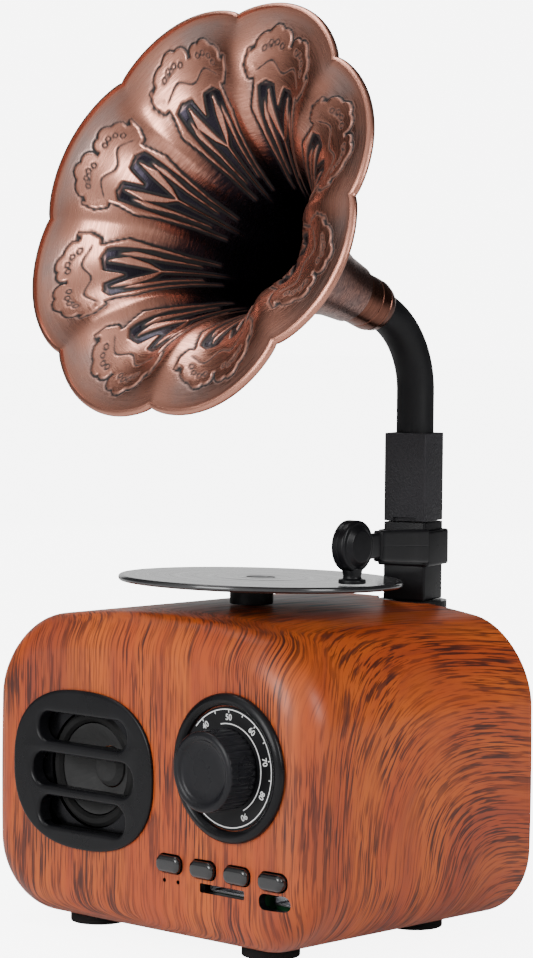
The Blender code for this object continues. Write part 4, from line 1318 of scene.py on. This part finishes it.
@dataclass
class Post:
    """Square post, its sleeve and the tonearm, all turned by the same yaw."""

    yaw: float = math.radians(17.0)
    side: float = 13.8
    shoulder: float = 118.9
    sleeve_low: float = 119.2

    def __post_init__(self) -> None:
        """Stand on the CAD post's axis."""
        self.axis, _ = joint_frame("post_swivel")
        self.place = Matrix.Translation((self.axis[0], self.axis[1], 0.0)) @ Matrix.Rotation(self.yaw, 4,
                                                                                             "Z")

    def prism(self, name: str, outline: np.ndarray, corners: Corners, place: Matrix) -> bpy.types.Mesh:
        """Prism with softened ends from (inset, height, radius) corners."""
        return build_mesh(name, loft(outline, soften(corners, 6, closed=False)), False, place)

    def build(self) -> None:
        """Make post, sleeve and tonearm."""
        square = rounded_rectangle(self.side, self.side, 0.8, 7)
        foot = 95.2
        ends = [(0.6, foot, 0.0), (0.0, foot, 0.3), (0.0, self.shoulder, 0.3), (0.6, self.shoulder, 0.0)]
        post = self.prism("square_post", square, ends, self.place)
        Piece("square_post", post, SATIN, Body.POST.value, ("post",), "post_black", 50.0).place()
        self.sleeve()
        self.tonearm()

    def sleeve(self) -> None:
        """Spark-textured sleeve: a socket for the pipe, with a small notch below its front face."""
        high = low_high("horn_sleeve")[1][2]
        square = rounded_rectangle(self.side, self.side, 0.7, 7)
        ends = [(0.4, self.sleeve_low, 0.0), (0.0, self.sleeve_low, 0.3), (0.0, high, 0.35),
                (0.4, high, 0.0)]
        obj = link("horn_sleeve_block", self.prism("horn_sleeve_block", square, ends, self.place))
        pipe = middle("horn_pipe")
        pivot, _ = joint_frame("pipe_swivel")
        bore = turn_profile(np.array([[6.0, 131.0], [6.0, high - 0.4], [6.4, high + 0.2],
                                      [6.4, high + 2.0]]), 72)
        bore_place = Matrix.Translation((pipe[0], pivot[1], 0.0))
        notch = rounded_rectangle(7.6, 2.4, 0.6, 5)
        levels = np.array([[0.0, self.sleeve_low - 1.0], [0.0, self.sleeve_low + 1.0],
                           [0.3, self.sleeve_low + 1.2]])
        notch_place = self.place @ Matrix.Translation((0.0, -self.side / 2, 0.0))
        cuts = [build_mesh("cutter", bore, False, bore_place),
                build_mesh("cutter", loft(notch, levels), False, notch_place)]
        carve(obj, cuts)
        piece = Piece(obj.name, obj.data, SPARKED, Body.POST.value, ("horn_sleeve",), "sleeve_black", 50.0)
        piece.declare(obj)

    def tonearm(self) -> None:
        """Ring, tapered bar, round head and foot of the tonearm."""
        low, high = low_high("tonearm_arm")
        ring_low, ring_high, outer = low[2], 116.5, 8.5
        square = rounded_rectangle(2 * outer, 2 * outer, 1.6, 9)
        hole = rounded_rectangle(14.3, 14.3, 0.6, 9)
        drop = ring_high - ring_low
        shape = soften([(0.0, 0.0, 0.9), (0.0, drop, 0.9), (1.0, drop, 0.0), (1.0, 0.0, 0.0)], 5)
        mix = shape[:, :1, None]
        rim = np.minimum(mix, 1.0)
        section = square[None] * (1 - rim) + hole[None] * rim
        z = np.broadcast_to(shape[:, 1:2] + ring_low, section.shape[:2])
        ring = np.concatenate([section, z[..., None]], -1)
        parts = [build_mesh("ring", ring, True, self.place), self.bar(), self.neck()]
        obj = link("tonearm_bar", join_meshes("tonearm_bar", parts))
        Piece(obj.name, obj.data, SATIN, Body.TONEARM.value, ("tonearm_arm",), "arm_black",
              50.0).declare(obj)
        self.head()

    def bar(self) -> bpy.types.Mesh:
        """Bar beside the post: a rounded section that rises and narrows towards the head.

        Returns:
            The bar's mesh.
        """
        root, near, far, tip = 7.9, -7.4, -40.2, -41.3
        along = np.concatenate([np.linspace(near, far, 24), [-40.8, -41.15, tip]])
        squeeze = np.concatenate([np.zeros(24), [0.15, 0.45, 1.0]])
        share = (root - along) / (root - tip)
        bottom = 105.7 + 4.0 * share
        top = 116.4 + 2.4 * share
        groove = [(1.0, 0.02, 0.02), (0.97, 0.0, 0.0), (1.0, -0.02, 0.02)]
        unit = [(-1.0, -1.0, 0.25), (1.0, -1.0, 0.25)] + groove[::-1]
        unit += [(1.0, 1.0, 0.25), (-1.0, 1.0, 0.25)]
        outline = soften(unit, 6)
        half_w = 1.6 - squeeze
        half_h = (top - bottom) / 2 - squeeze
        x = 6.9 + outline[None, :, 0] * half_w[:, None]
        z = (top + bottom)[:, None] / 2 + outline[None, :, 1] * half_h[:, None]
        y = np.broadcast_to(along[:, None], x.shape)
        return build_mesh("bar", np.stack([x, y, z], -1), False, self.place)

    def neck(self) -> bpy.types.Mesh:
        """Thin web between the bar and the head.

        Returns:
            The web's mesh.
        """
        head = middle("tonearm_head")
        reach = math.dist(head[:2], self.axis[:2]) - 7.0
        outline = rounded_rectangle(2.4, 7.4, 0.9, 6)
        y = np.array([-40.6, -reach])
        x = 6.7 + np.broadcast_to(outline[:, 0], (2, len(outline)))
        z = 114.5 + np.broadcast_to(outline[:, 1], (2, len(outline)))
        rings = np.stack([x, np.broadcast_to(y[:, None], x.shape), z], -1)
        return build_mesh("neck", rings, False, self.place)

    def head(self) -> None:
        """Round head with a raised boss on each face and a parting line, and the foot on the record."""
        low, high = low_high("tonearm_head")
        centre = (low + high) / 2
        radius = (high[2] - low[2]) / 2
        corners = [(0.3, 3.6, 0.0), (4.6, 3.6, 0.3), (6.1, 2.35, 0.35), (6.9, 2.35, 0.2),
                   (radius, 1.95, 0.5),
                   (radius, 0.12, 0.05), (radius - 0.12, 0.0, 0.05), (radius, -0.12, 0.05), (radius, -1.95,
                                                                                             0.5),
                   (6.9, -2.35, 0.2), (6.1, -2.35, 0.35), (4.6, -3.6, 0.3), (0.3, -3.6, 0.0)]
        turn = Matrix.Rotation(math.radians(5.3), 4, "Z") @ Matrix.Rotation(math.radians(90.0), 4, "Y")
        rings = turn_profile(soften(corners, 5, closed=False), 140)
        mesh = build_mesh("tonearm_wheel", rings, False, Matrix.Translation(centre) @ turn)
        Piece("tonearm_wheel", mesh, SATIN, Body.TONEARM.value, ("tonearm_head",), "arm_black").place()
        low, high = low_high("stylus_foot")
        centre = (low + high) / 2
        tall = high[2] - low[2]
        corners = [(0.3, 0.0, 0.0), (4.0, 0.0, 0.2), (4.0, 1.2, 0.35), (2.7, 1.35, 0.5), (2.6, 2.3, 0.4),
                   (3.2, tall, 0.2), (0.3, tall, 0.0)]
        place = Matrix.Translation((centre[0], centre[1], low[2]))
        mesh = build_mesh("tonearm_foot", turn_profile(soften(corners, 5, closed=False), 72), False, place)
        Piece("tonearm_foot", mesh, SATIN, Body.TONEARM.value, ("stylus_foot",), "arm_black").place()


@dataclass
class Motif:
    """Embossed flower of one lobe, as distances in the lobe's own flat coordinates.

    x runs across the lobe and p runs inwards from the rim, both in millimetres.
    """

    line: float = 0.36
    scallops: tuple[tuple[float, float, float], ...] = (
        (-10.6, 13.6, 2.5), (-9.9, 10.4, 2.6), (-7.0, 8.3, 2.6), (-3.7, 8.5, 2.2),
        (2.2, 7.9, 2.7), (5.9, 7.2, 2.8), (9.6, 9.0, 2.7), (11.2, 12.3, 2.4),
    )
    beads: tuple[tuple[float, float], ...] = (
        (-9.2, 12.6), (-8.2, 10.6), (-6.3, 9.4), (-4.2, 9.6), (2.6, 9.6), (4.8, 8.8), (7.0, 9.0), (8.8,
                                                                                                   10.4),
    )
    strokes: tuple[tuple[tuple[float, float, float], ...], ...] = (
        ((-7.0, 16.0, 3.6), (-8.6, 20.4, 0.5)),
        ((0.3, 16.2, 3.8), (0.6, 20.5, 1.7), (0.7, 25.4, 0.25)),
        ((7.2, 15.8, 3.6), (9.2, 20.2, 0.5)),
        ((-10.2, 17.2, 1.3), (-12.6, 14.4, 0.9), (-14.2, 11.2, 0.15)),
        ((10.8, 16.6, 1.3), (13.0, 13.6, 0.9), (13.9, 10.0, 0.15)),
        ((-8.8, 20.0, 0.5), (-8.6, 26.0, 0.95), (-6.9, 33.0, 0.45), (-4.6, 44.0, 0.22), (-3.4, 54.0, 0.12)),
        ((9.0, 20.0, 0.5), (8.7, 26.0, 0.95), (6.9, 33.0, 0.45), (4.6, 44.0, 0.22), (3.4, 54.0, 0.12)),
        ((-5.9, 24.5, 0.15), (-5.4, 29.0, 0.75), (-3.6, 37.5, 0.35), (-2.4, 48.0, 0.18)),
        ((5.9, 24.5, 0.15), (5.4, 29.0, 0.75), (3.6, 37.5, 0.35), (2.4, 48.0, 0.18)),
        ((-4.4, 21.4, 0.2), (-3.6, 27.0, 1.15), (-1.7, 33.0, 0.75), (-0.2, 36.2, 0.3)),
        ((4.6, 21.4, 0.2), (3.8, 27.0, 1.15), (1.8, 33.0, 0.75), (0.2, 36.2, 0.3)),
        ((0.0, 36.0, 0.3), (0.0, 46.0, 0.2), (0.0, 60.0, 0.1)),
    )

    def stroke(self, x: np.ndarray, p: np.ndarray,
               knots: tuple[tuple[float, float, float], ...]) -> np.ndarray:
        """Distance to a chain of tapered strips: |point - nearest| minus the width there.

        Args:
            x: distance across the lobe.
            p: distance inwards from the rim.
            knots: points of the chain as (x, p, half width).

        Returns:
            The distance, negative inside.
        """
        best = np.full(x.shape, 1e9)
        for (ax, ap, ar), (bx, bp, br) in zip(knots[:-1], knots[1:]):
            dx, dp = bx - ax, bp - ap
            share = np.clip(((x - ax) * dx + (p - ap) * dp) / (dx * dx + dp * dp), 0.0, 1.0)
            gap = np.hypot(x - ax - share * dx, p - ap - share * dp) - (ar + (br - ar) * share)
            best = np.minimum(best, gap)
        return best

    def evaluate(self, x: np.ndarray, p: np.ndarray) -> tuple[np.ndarray, np.ndarray, np.ndarray]:
        """Raised share, groove share and darkened ground of the motif.

        Args:
            x: distance across the lobe from its middle line.
            p: distance inwards from the rim.

        Returns:
            Three arrays between 0 and 1.
        """
        fan = np.hypot(x / 10.8, (p - 14.4) / 5.2) * 5.2 - 5.2
        for cx, cp, radius in self.scallops:
            fan = np.minimum(fan, np.hypot(x - cx, p - cp) - radius)
        shape = fan
        for knots in self.strokes:
            shape = np.minimum(shape, self.stroke(x, p, knots))
        raised = smooth_step(0.22, -0.22, shape)
        groove = smooth_step(0.62, 0.26, np.abs(shape - self.line))
        wave = 14.9 + 1.3 * np.cos(x * math.tau / 10.4)
        on_wave = smooth_step(0.62, 0.2, np.abs(p - wave)) * smooth_step(10.2, 9.2, np.abs(x))
        groove = np.maximum(groove, on_wave)
        for cx, cp in self.beads:
            ring = np.abs(np.hypot(x - cx, p - cp) - 0.75)
            groove = np.maximum(groove, smooth_step(0.5, 0.15, ring))
        width = 8.6 - 0.13 * (p - 20.0)
        ground = smooth_step(width + 0.4, width - 0.4, np.abs(x)) * smooth_step(17.5, 21.5, p)
        return raised, groove, ground * (1.0 - raised)


@dataclass
class Horn:
    """Lobed horn with its embossed flowers and rolled rim, its brushed collar and the bent pipe."""

    lobes: int = 8
    columns: int = 640
    crowding: float = 0.42
    lobe_depth: float = 4.5
    lobe_power: float = 0.75
    swell: float = 2.3
    sheet: float = 0.9
    bead: float = 1.15
    emboss: float = 0.42
    twist: float = math.radians(3.0)
    lobed_from: float = 16.0
    rim_radius: float = 58.2
    pipe_outer: float = 5.7
    pipe_inner: float = 4.3
    pipe_reach: float = 8.0
    profile: tuple[tuple[float, float], ...] = (
        (14.0, 8.05), (19.0, 8.4), (25.0, 9.9), (32.5, 12.1), (40.0, 14.8), (52.0, 19.8), (64.0, 26.6),
        (72.0, 32.8), (77.0, 38.8), (80.3, 45.6), (82.2, 52.0), (83.3, 58.2),
    )

    def __post_init__(self) -> None:
        """Stand on the CAD horn's axis."""
        pivot, axis = joint_frame("horn_twist")
        self.place = along_axis(pivot, axis, self.twist)
        self.path = self.smooth_profile()

    def smooth_profile(self) -> np.ndarray:
        """Fine profile from the throat to the rim: a Catmull-Rom curve through the knots.

        Returns:
            Rows of (height, radius, distance from the rim).
        """
        knots = np.array(self.profile)
        padded = np.vstack([2 * knots[0] - knots[1], knots, 2 * knots[-1] - knots[-2]])
        rows = []
        t = np.linspace(0.0, 1.0, 40, endpoint=False)[:, None]
        for a, b, c, d in zip(padded[:-3], padded[1:-2], padded[2:-1], padded[3:]):
            rows.append(0.5 * (2 * b + (c - a) * t + (2 * a - 5 * b + 4 * c - d) * t**2
                               + (3 * b - a - 3 * c + d) * t**3))
        fine = np.vstack(rows + [knots[-1:]])
        step = np.hypot(*np.diff(fine, axis=0).T)
        length = np.concatenate([[0.0], np.cumsum(step)])
        return np.column_stack([fine, length[-1] - length])

    def rows(self) -> np.ndarray:
        """Distances from the rim at which rings are made, dense over the flowers.

        Returns:
            The distances.
        """
        total = self.path[0, 2]
        return np.concatenate([
            np.linspace(0.0, 4.0, 6, endpoint=False),
            np.linspace(4.0, 38.0, 80, endpoint=False),
            np.linspace(38.0, 62.0, 24, endpoint=False),
            np.linspace(62.0, total, 12),
        ])

    def angles(self) -> np.ndarray:
        """Directions of the columns: t + k sin(2 pi t) / 2 pi in each lobe, closer in its middle.

        Returns:
            The angles in radians.
        """
        share = np.arange(self.columns) * self.lobes / self.columns
        eased = share + self.crowding * np.sin(math.tau * share) / math.tau
        return eased * math.tau / self.lobes

    def surface(self, inward: np.ndarray, offset: float) -> tuple[np.ndarray, ...]:
        """Lobed surface at distances from the rim.

        The radius grows by depth * share(r) * w(a), where share rises from the throat to the rim and
        w is (sin^2(n a / 2) + e)^(power / 2), scaled to 0 to 1. The small e rounds the creases away
        from the rim. The middle of each lobe also swells back along the normal.

        Args:
            inward: distances from the rim along the profile.
            offset: distance behind the inner face.

        Returns:
            Points, normals of the profile, lobe wave, radius and angle from the nearest lobe middle.
        """
        order = self.path[::-1]
        height = np.interp(inward, order[:, 2], order[:, 0])
        radius = np.interp(inward, order[:, 2], order[:, 1])
        slope_h, slope_r = np.gradient(height, inward), np.gradient(radius, inward)
        size = np.hypot(slope_h, slope_r)
        normal_h, normal_r = -slope_r / size, slope_h / size
        angle = self.angles()
        round_off = 0.09 * smooth_step(1.0, 9.0, inward)[:, None] + 1e-6
        sine = np.sin(self.lobes / 2 * angle)[None] ** 2
        half_power = self.lobe_power / 2
        low = round_off**half_power
        wave = ((sine + round_off) ** half_power - low) / ((1.0 + round_off) ** half_power - low)
        share = np.clip((radius - self.lobed_from) / (self.rim_radius - self.lobed_from), 0.0, None) ** 1.6
        bump = smooth_step(14.0, 30.0, radius) * (1.0 - 0.85 * smooth_step(46.0, 58.0, radius))
        back = offset + self.swell * bump[:, None] * (wave - 0.5)
        r = radius[:, None] + self.lobe_depth * share[:, None] * wave - back * normal_r[:, None]
        h = height[:, None] - back * normal_h[:, None]
        points = np.stack([r * np.sin(angle), r * np.cos(angle), h], -1)
        normal = np.stack([normal_r[:, None] * np.sin(angle), normal_r[:, None] * np.cos(angle),
                           normal_h[:, None] + 0.0 * angle], -1)
        sector = math.tau / self.lobes
        local = (angle % sector) - sector / 2
        return points, normal, wave, r, local

    def build(self) -> None:
        """Make bell, collar and pipe."""
        inward = self.rows()
        points, normal, wave, radius, local = self.surface(inward, 0.0)
        p = inward[:, None] + 0.0 * local[None]
        across = local[None] * radius
        raised, groove, ground = Motif().evaluate(-across, p)
        fade = smooth_step(60.0, 50.0, p)
        front = points + normal * (self.emboss * raised - 0.12 * groove)[..., None] * fade[..., None]
        bead = self.rolled_rim(points[0], normal[0])
        behind, _, _, _, _ = self.surface(np.concatenate([np.linspace(1.2, 40.0, 12),
                                                          np.linspace(46.0, inward[-1], 7)]),
                                          self.sheet)
        rings = np.concatenate([front[::-1], bead, behind])
        mesh = build_mesh("horn_bell_shell", rings, True, self.place)
        self.store_looks(mesh, rings, len(front), raised * fade, groove * fade, ground, inward, wave)
        Piece("horn_bell_shell", mesh, COPPER, Body.HORN.value, ("horn_bell",), "horn_copper", 70.0).place()
        self.collar()
        self.pipe()

    def rolled_rim(self, edge: np.ndarray, normal: np.ndarray) -> np.ndarray:
        """Rings of the rolled rim: a half circle from the inner face over the edge to the back.

        Args:
            edge: points of the inner face at the rim.
            normal: its normals.

        Returns:
            The rings.
        """
        outward = edge * np.array([1.0, 1.0, 0.0])
        outward /= np.linalg.norm(outward, axis=1, keepdims=True)
        rings = []
        for degrees in (100, 70, 40, 10, -20, -50, -80, -110):
            turn = math.radians(degrees)
            middle_line = edge - normal * 0.35 + outward * 0.2
            rings.append(middle_line + self.bead * (normal * math.sin(turn) + outward * math.cos(turn)))
        return np.stack(rings)

    def store_looks(self, mesh: bpy.types.Mesh, rings: np.ndarray, front_rows: int, raised: np.ndarray,
                    groove: np.ndarray, ground: np.ndarray, inward: np.ndarray, wave: np.ndarray) -> None:
        """Write what the copper finish reads: relief, groove, patina, painted highlight and brushing
        direction.

        Args:
            mesh: the bell's mesh.
            rings: its rings.
            front_rows: how many of the rings are the inner face.
            raised: raised share of the inner face, from the rim inwards.
            groove: groove share in the same order.
            ground: darkened share between the leaves, in the same order.
            inward: distances of those rings from the rim.
            wave: lobe wave of those rings, 0 at a notch.
        """
        rows, columns = rings.shape[:2]
        relief, cut = np.zeros((rows, columns)), np.zeros((rows, columns))
        patina, painted_highlight = np.full((rows, columns), 0.55), np.zeros((rows, columns))
        relief[:front_rows], cut[:front_rows] = raised[::-1], groove[::-1]
        depth = inward[::-1, None]
        valley = 1.0 - wave[::-1]
        crest = smooth_step(0.35, 0.85, valley)
        stain = smooth_step(9.0, 34.0, depth) * 0.85 + 0.15 * smooth_step(34.0, 46.0, depth)
        # Painted highlight: the notch crests keep less patina far into the bell and stay lighter.
        crest_highlight_share = crest * smooth_step(48.0, 24.0, depth) * 0.85
        patina[:front_rows] = np.maximum(0.12 + 0.88 * stain * (1.0 - crest_highlight_share) - 0.12 * crest, ground[::-1])
        # Painted highlight on the notch crests, full painted highlight on the rolled rim and just inside it,
        # and no patina on the rim.
        painted_highlight[:front_rows] = crest * smooth_step(0.5, 8.0, depth)
        edge = slice(front_rows, front_rows + 8)
        patina[edge], painted_highlight[edge] = 0.0, 1.0
        painted_highlight[:front_rows] = np.maximum(painted_highlight[:front_rows], smooth_step(2.5, 0.5, depth))
        store_value(mesh, "relief", relief.ravel())
        store_value(mesh, "groove", cut.ravel())
        store_value(mesh, "patina", patina.ravel())
        store_value(mesh, "painted_highlight", painted_highlight.ravel())
        angle = self.angles()
        lengthwise = np.concatenate([inward[::-1], -np.arange(1, rows - front_rows + 1) * 9.0])
        turn = np.stack([np.cos(angle) * 6.0, np.sin(angle) * 6.0], -1)
        flow = np.concatenate([np.broadcast_to(turn[None], (rows, columns, 2)),
                               np.broadcast_to(lengthwise[:, None, None] * 1.6, (rows, columns, 1))], -1)
        store_vector(mesh, "flow", flow.reshape(-1, 3))

    def collar(self) -> None:
        """Brushed collar with thin turned rings."""
        corners = [(6.1, 0.0, 0.0), (6.7, 0.0, 0.2), (7.3, 1.2, 0.3), (7.75, 3.0, 0.3), (7.9, 3.1, 0.1),
                   (7.7, 3.4, 0.1), (8.0, 3.7, 0.1), (8.05, 7.2, 0.1), (7.85, 7.35, 0.05), (8.0, 7.5, 0.05),
                   (8.05, 13.7, 0.1), (7.1, 13.7, 0.0), (7.1, 9.0, 0.0), (6.1, 8.6, 0.0)]
        profile = soften(corners, 5)
        mesh = build_mesh("horn_collar", turn_profile(profile, 160), True, self.place)
        store_value(mesh, "lathe", np.repeat(profile[:, 1] * MM, 160))
        Piece("horn_collar", mesh, COLLAR, Body.HORN.value, ("horn_ferrule",), "ferrule_copper").place()

    def pipe(self) -> None:
        """Bent pipe: a circle carried up, round a quarter-like bend and into the collar."""
        low, high = low_high("horn_pipe")
        pivot, axis = joint_frame("horn_twist")
        start, _ = joint_frame("pipe_swivel")
        turn = math.acos(float(axis[2]))
        bend = (start[1] - pivot[1]) / (1.0 - math.cos(turn))
        angle = np.linspace(0.0, turn, 48)
        base = pivot[2] - bend * math.sin(turn)
        y = np.concatenate([[start[1], start[1]], start[1] - bend * (1 - np.cos(angle)),
                            [pivot[1] + axis[1] * self.pipe_reach]])
        z = np.concatenate([[low[2], base - 4.0], base + bend * np.sin(angle),
                            [pivot[2] + axis[2] * self.pipe_reach]])
        lean = np.concatenate([[0.0, 0.0], angle, [turn]])
        ring = np.arange(72) * math.tau / 72
        rows = []
        for radius in (self.pipe_outer, self.pipe_inner):
            side = radius * np.cos(ring)[None] + 0.0 * lean[:, None]
            out = radius * np.sin(ring)[None]
            rows.append(np.stack([pivot[0] + side, y[:, None] + out * np.cos(lean)[:, None],
                                  z[:, None] + out * np.sin(lean)[:, None]], -1))
        mesh = build_mesh("bent_pipe", np.concatenate([rows[0], rows[1][::-1]]), True, None)
        Piece("bent_pipe", mesh, PIPE_BLACK, Body.PIPE.value, ("horn_pipe",), "pipe_black").place()


@dataclass
class Insides:
    """Finishes of the CAD parts that stay visible or sit inside the cabinet."""

    def table(self) -> dict[str, Finish]:
        """Finish of every kept node.

        Returns:
            The finishes by node name.
        """
        table = {
            # The speaker basket takes the metal darkened as painted shade.
            "back_cover": GRAPHITE, "post_socket": SATIN, "speaker_basket": SHADED_BASKET,
            "speaker_magnet": DARK_STEEL, "speaker_surround": RUBBER, "speaker_cone": CONE,
            "speaker_cap": CONE, "voice_coil": COIL,
            "pot_nut": STEEL, "pot_body": STEEL, "control_board": BOARD, "status_light": SMOKE,
            "microphone": SMOKE, "card_socket": STEEL, "usb_socket": STEEL, "battery": CELL,
            "battery_cradle": SATIN, "speaker_lead": WIRE, "battery_lead": WIRE,
        }
        table.update({f"tact_switch_{i + 1}": STEEL for i in range(4)})
        return table

    def build(self) -> None:
        """Dress the kept nodes."""
        for node, finish in self.table().items():
            data = frame["nodes"][node].data
            data.materials.clear()
            data.materials.append(finish.material())
            LOG.info("%s: %s", node, finish.name)


@dataclass
class Studio:
    """Pale floor, soft light and the camera."""

    azimuth: float = 43.57
    pitch: float = 3.39
    roll: float = 0.51
    place: tuple[float, float, float] = (658.04, -694.49, 189.94)
    lens: float = 122.06
    white: tuple[float, float, float] = (0.93, 0.93, 0.93)
    reach: float = 6000.0
    glow: float = 7.0
    dim: float = 0.05
    bright: float = 1.0
    bright_side: tuple[float, float, float] = (0.2, -0.9, 0.4)

    def build(self) -> None:
        """Make floor, lights and camera."""
        self.floor()
        self.world()
        self.lamp("key_panel", (60.0, -820.0, 420.0), (420.0, 420.0), 5.5)
        self.lamp("side_panel", (760.0, 60.0, 420.0), (300.0, 420.0), 3.4)
        self.lamp("top_panel", (-260.0, -60.0, 820.0), (420.0, 300.0), 3.0)
        self.lamp("rear_panel", (-1100.0, 1150.0, 330.0), (1700.0, 480.0), 2.4)
        self.camera()

    def floor(self) -> None:
        """Level pale floor, as one sheet that reaches far beyond the object."""
        reach = np.linspace(-self.reach, self.reach, 13)
        x, y = np.meshgrid(reach, reach, indexing="ij")
        points = np.stack([x, y, 0.0 * x], -1)
        index = np.arange(x.size).reshape(x.shape)
        quads = np.stack([index[:-1, :-1], index[1:, :-1], index[1:, 1:], index[:-1, 1:]], -1).reshape(-1, 4)
        mesh = bpy.data.meshes.new("pale_floor")
        mesh.from_pydata((points.reshape(-1, 3) * MM).tolist(), [], quads.tolist())
        mesh.shade_smooth()
        floor = link("pale_floor", mesh)
        graph = Graph("pale floor")
        tone = graph.noise(graph.object_space((1.0, 1.0, 1.0)), 3.0)
        seen = graph.node("LightPath", {}).outputs["Is Camera Ray"]
        graph.set(
            Base_Color=graph.blend(tone, rgba(self.white), rgba((0.95, 0.95, 0.95))),
            Roughness=0.8,
            Emission_Color=rgba(self.white),
            Emission_Strength=graph.math("MULTIPLY", seen, self.glow),
        )
        mesh.materials.append(graph.made)

    def world(self) -> None:
        """White surroundings to look at, which light the object mostly from the front and above."""
        world = bpy.data.worlds.new("soft surroundings")
        world.use_nodes = True
        tree = world.node_tree
        background = tree.nodes["Background"]
        background.inputs["Color"].default_value = rgba((1.0, 1.0, 1.0))
        place = tree.nodes.new("ShaderNodeTexCoord")
        facing = tree.nodes.new("ShaderNodeVectorMath")
        facing.operation = "DOT_PRODUCT"
        facing.inputs[1].default_value = Vector(self.bright_side).normalized()
        soft = tree.nodes.new("ShaderNodeMapRange")
        soft.interpolation_type = "SMOOTHSTEP"
        soft.inputs["From Min"].default_value = 0.1
        soft.inputs["To Min"].default_value = self.dim
        soft.inputs["To Max"].default_value = self.bright
        seen = tree.nodes.new("ShaderNodeLightPath")
        total = tree.nodes.new("ShaderNodeMath")
        total.operation = "MULTIPLY_ADD"
        total.inputs[1].default_value = self.glow
        tree.links.new(place.outputs["Generated"], facing.inputs[0])
        tree.links.new(facing.outputs["Value"], soft.inputs["Value"])
        tree.links.new(seen.outputs["Is Camera Ray"], total.inputs[0])
        tree.links.new(soft.outputs["Result"], total.inputs[2])
        tree.links.new(total.outputs["Value"], background.inputs["Strength"])
        bpy.context.scene.world = world

    def lamp(self, name: str, place: tuple[float, float, float], size: tuple[float, float],
             power: float) -> None:
        """Soft rectangular light that points at the object.

        Args:
            name: name of the light.
            place: where it stands.
            size: its width and height.
            power: its power in watts.
        """
        data = bpy.data.lights.new(name, "AREA")
        data.shape = "RECTANGLE"
        data.size, data.size_y = size[0] * MM, size[1] * MM
        data.energy = power
        lamp = bpy.data.objects.new(name, data)
        lamp.location = Vector(place) * MM
        aim = Vector((0.0, 0.0, 0.13)) - lamp.location
        lamp.rotation_euler = aim.to_track_quat("-Z", "Y").to_euler()
        lamp.visible_camera = False
        bpy.context.scene.collection.objects.link(lamp)

    def camera(self) -> None:
        """Camera in front to the right, looking slightly down."""
        data = bpy.data.cameras.new("camera")
        data.lens = self.lens
        data.clip_end = 20.0
        camera = bpy.data.objects.new("camera", data)
        turn, pitch = math.radians(self.azimuth), math.radians(self.pitch)
        back = Vector((math.sin(turn) * math.cos(pitch), -math.cos(turn) * math.cos(pitch), math.sin(pitch)))
        level = Vector((math.cos(turn), math.sin(turn), 0.0))
        upright = back.cross(level)
        roll = math.radians(self.roll)
        right = level * math.cos(roll) + upright * math.sin(roll)
        upright = upright * math.cos(roll) - level * math.sin(roll)
        matrix = Matrix((right, upright, back)).transposed().to_4x4()
        matrix.translation = Vector(self.place) * MM
        camera.matrix_world = matrix
        bpy.context.scene.collection.objects.link(camera)
        bpy.context.scene.camera = camera


def main() -> None:
    """Build the studio and every sub-assembly."""
    logging.basicConfig(level=logging.INFO, format="%(name)s %(message)s")
    for part in (Studio(), Cabinet(), Grille(), Dial(), Keys(), Turntable(), Post(), Horn(), Insides()):
        LOG.info("building %s", type(part).__name__)
        part.build()


if __name__ == "__main__":
    main()
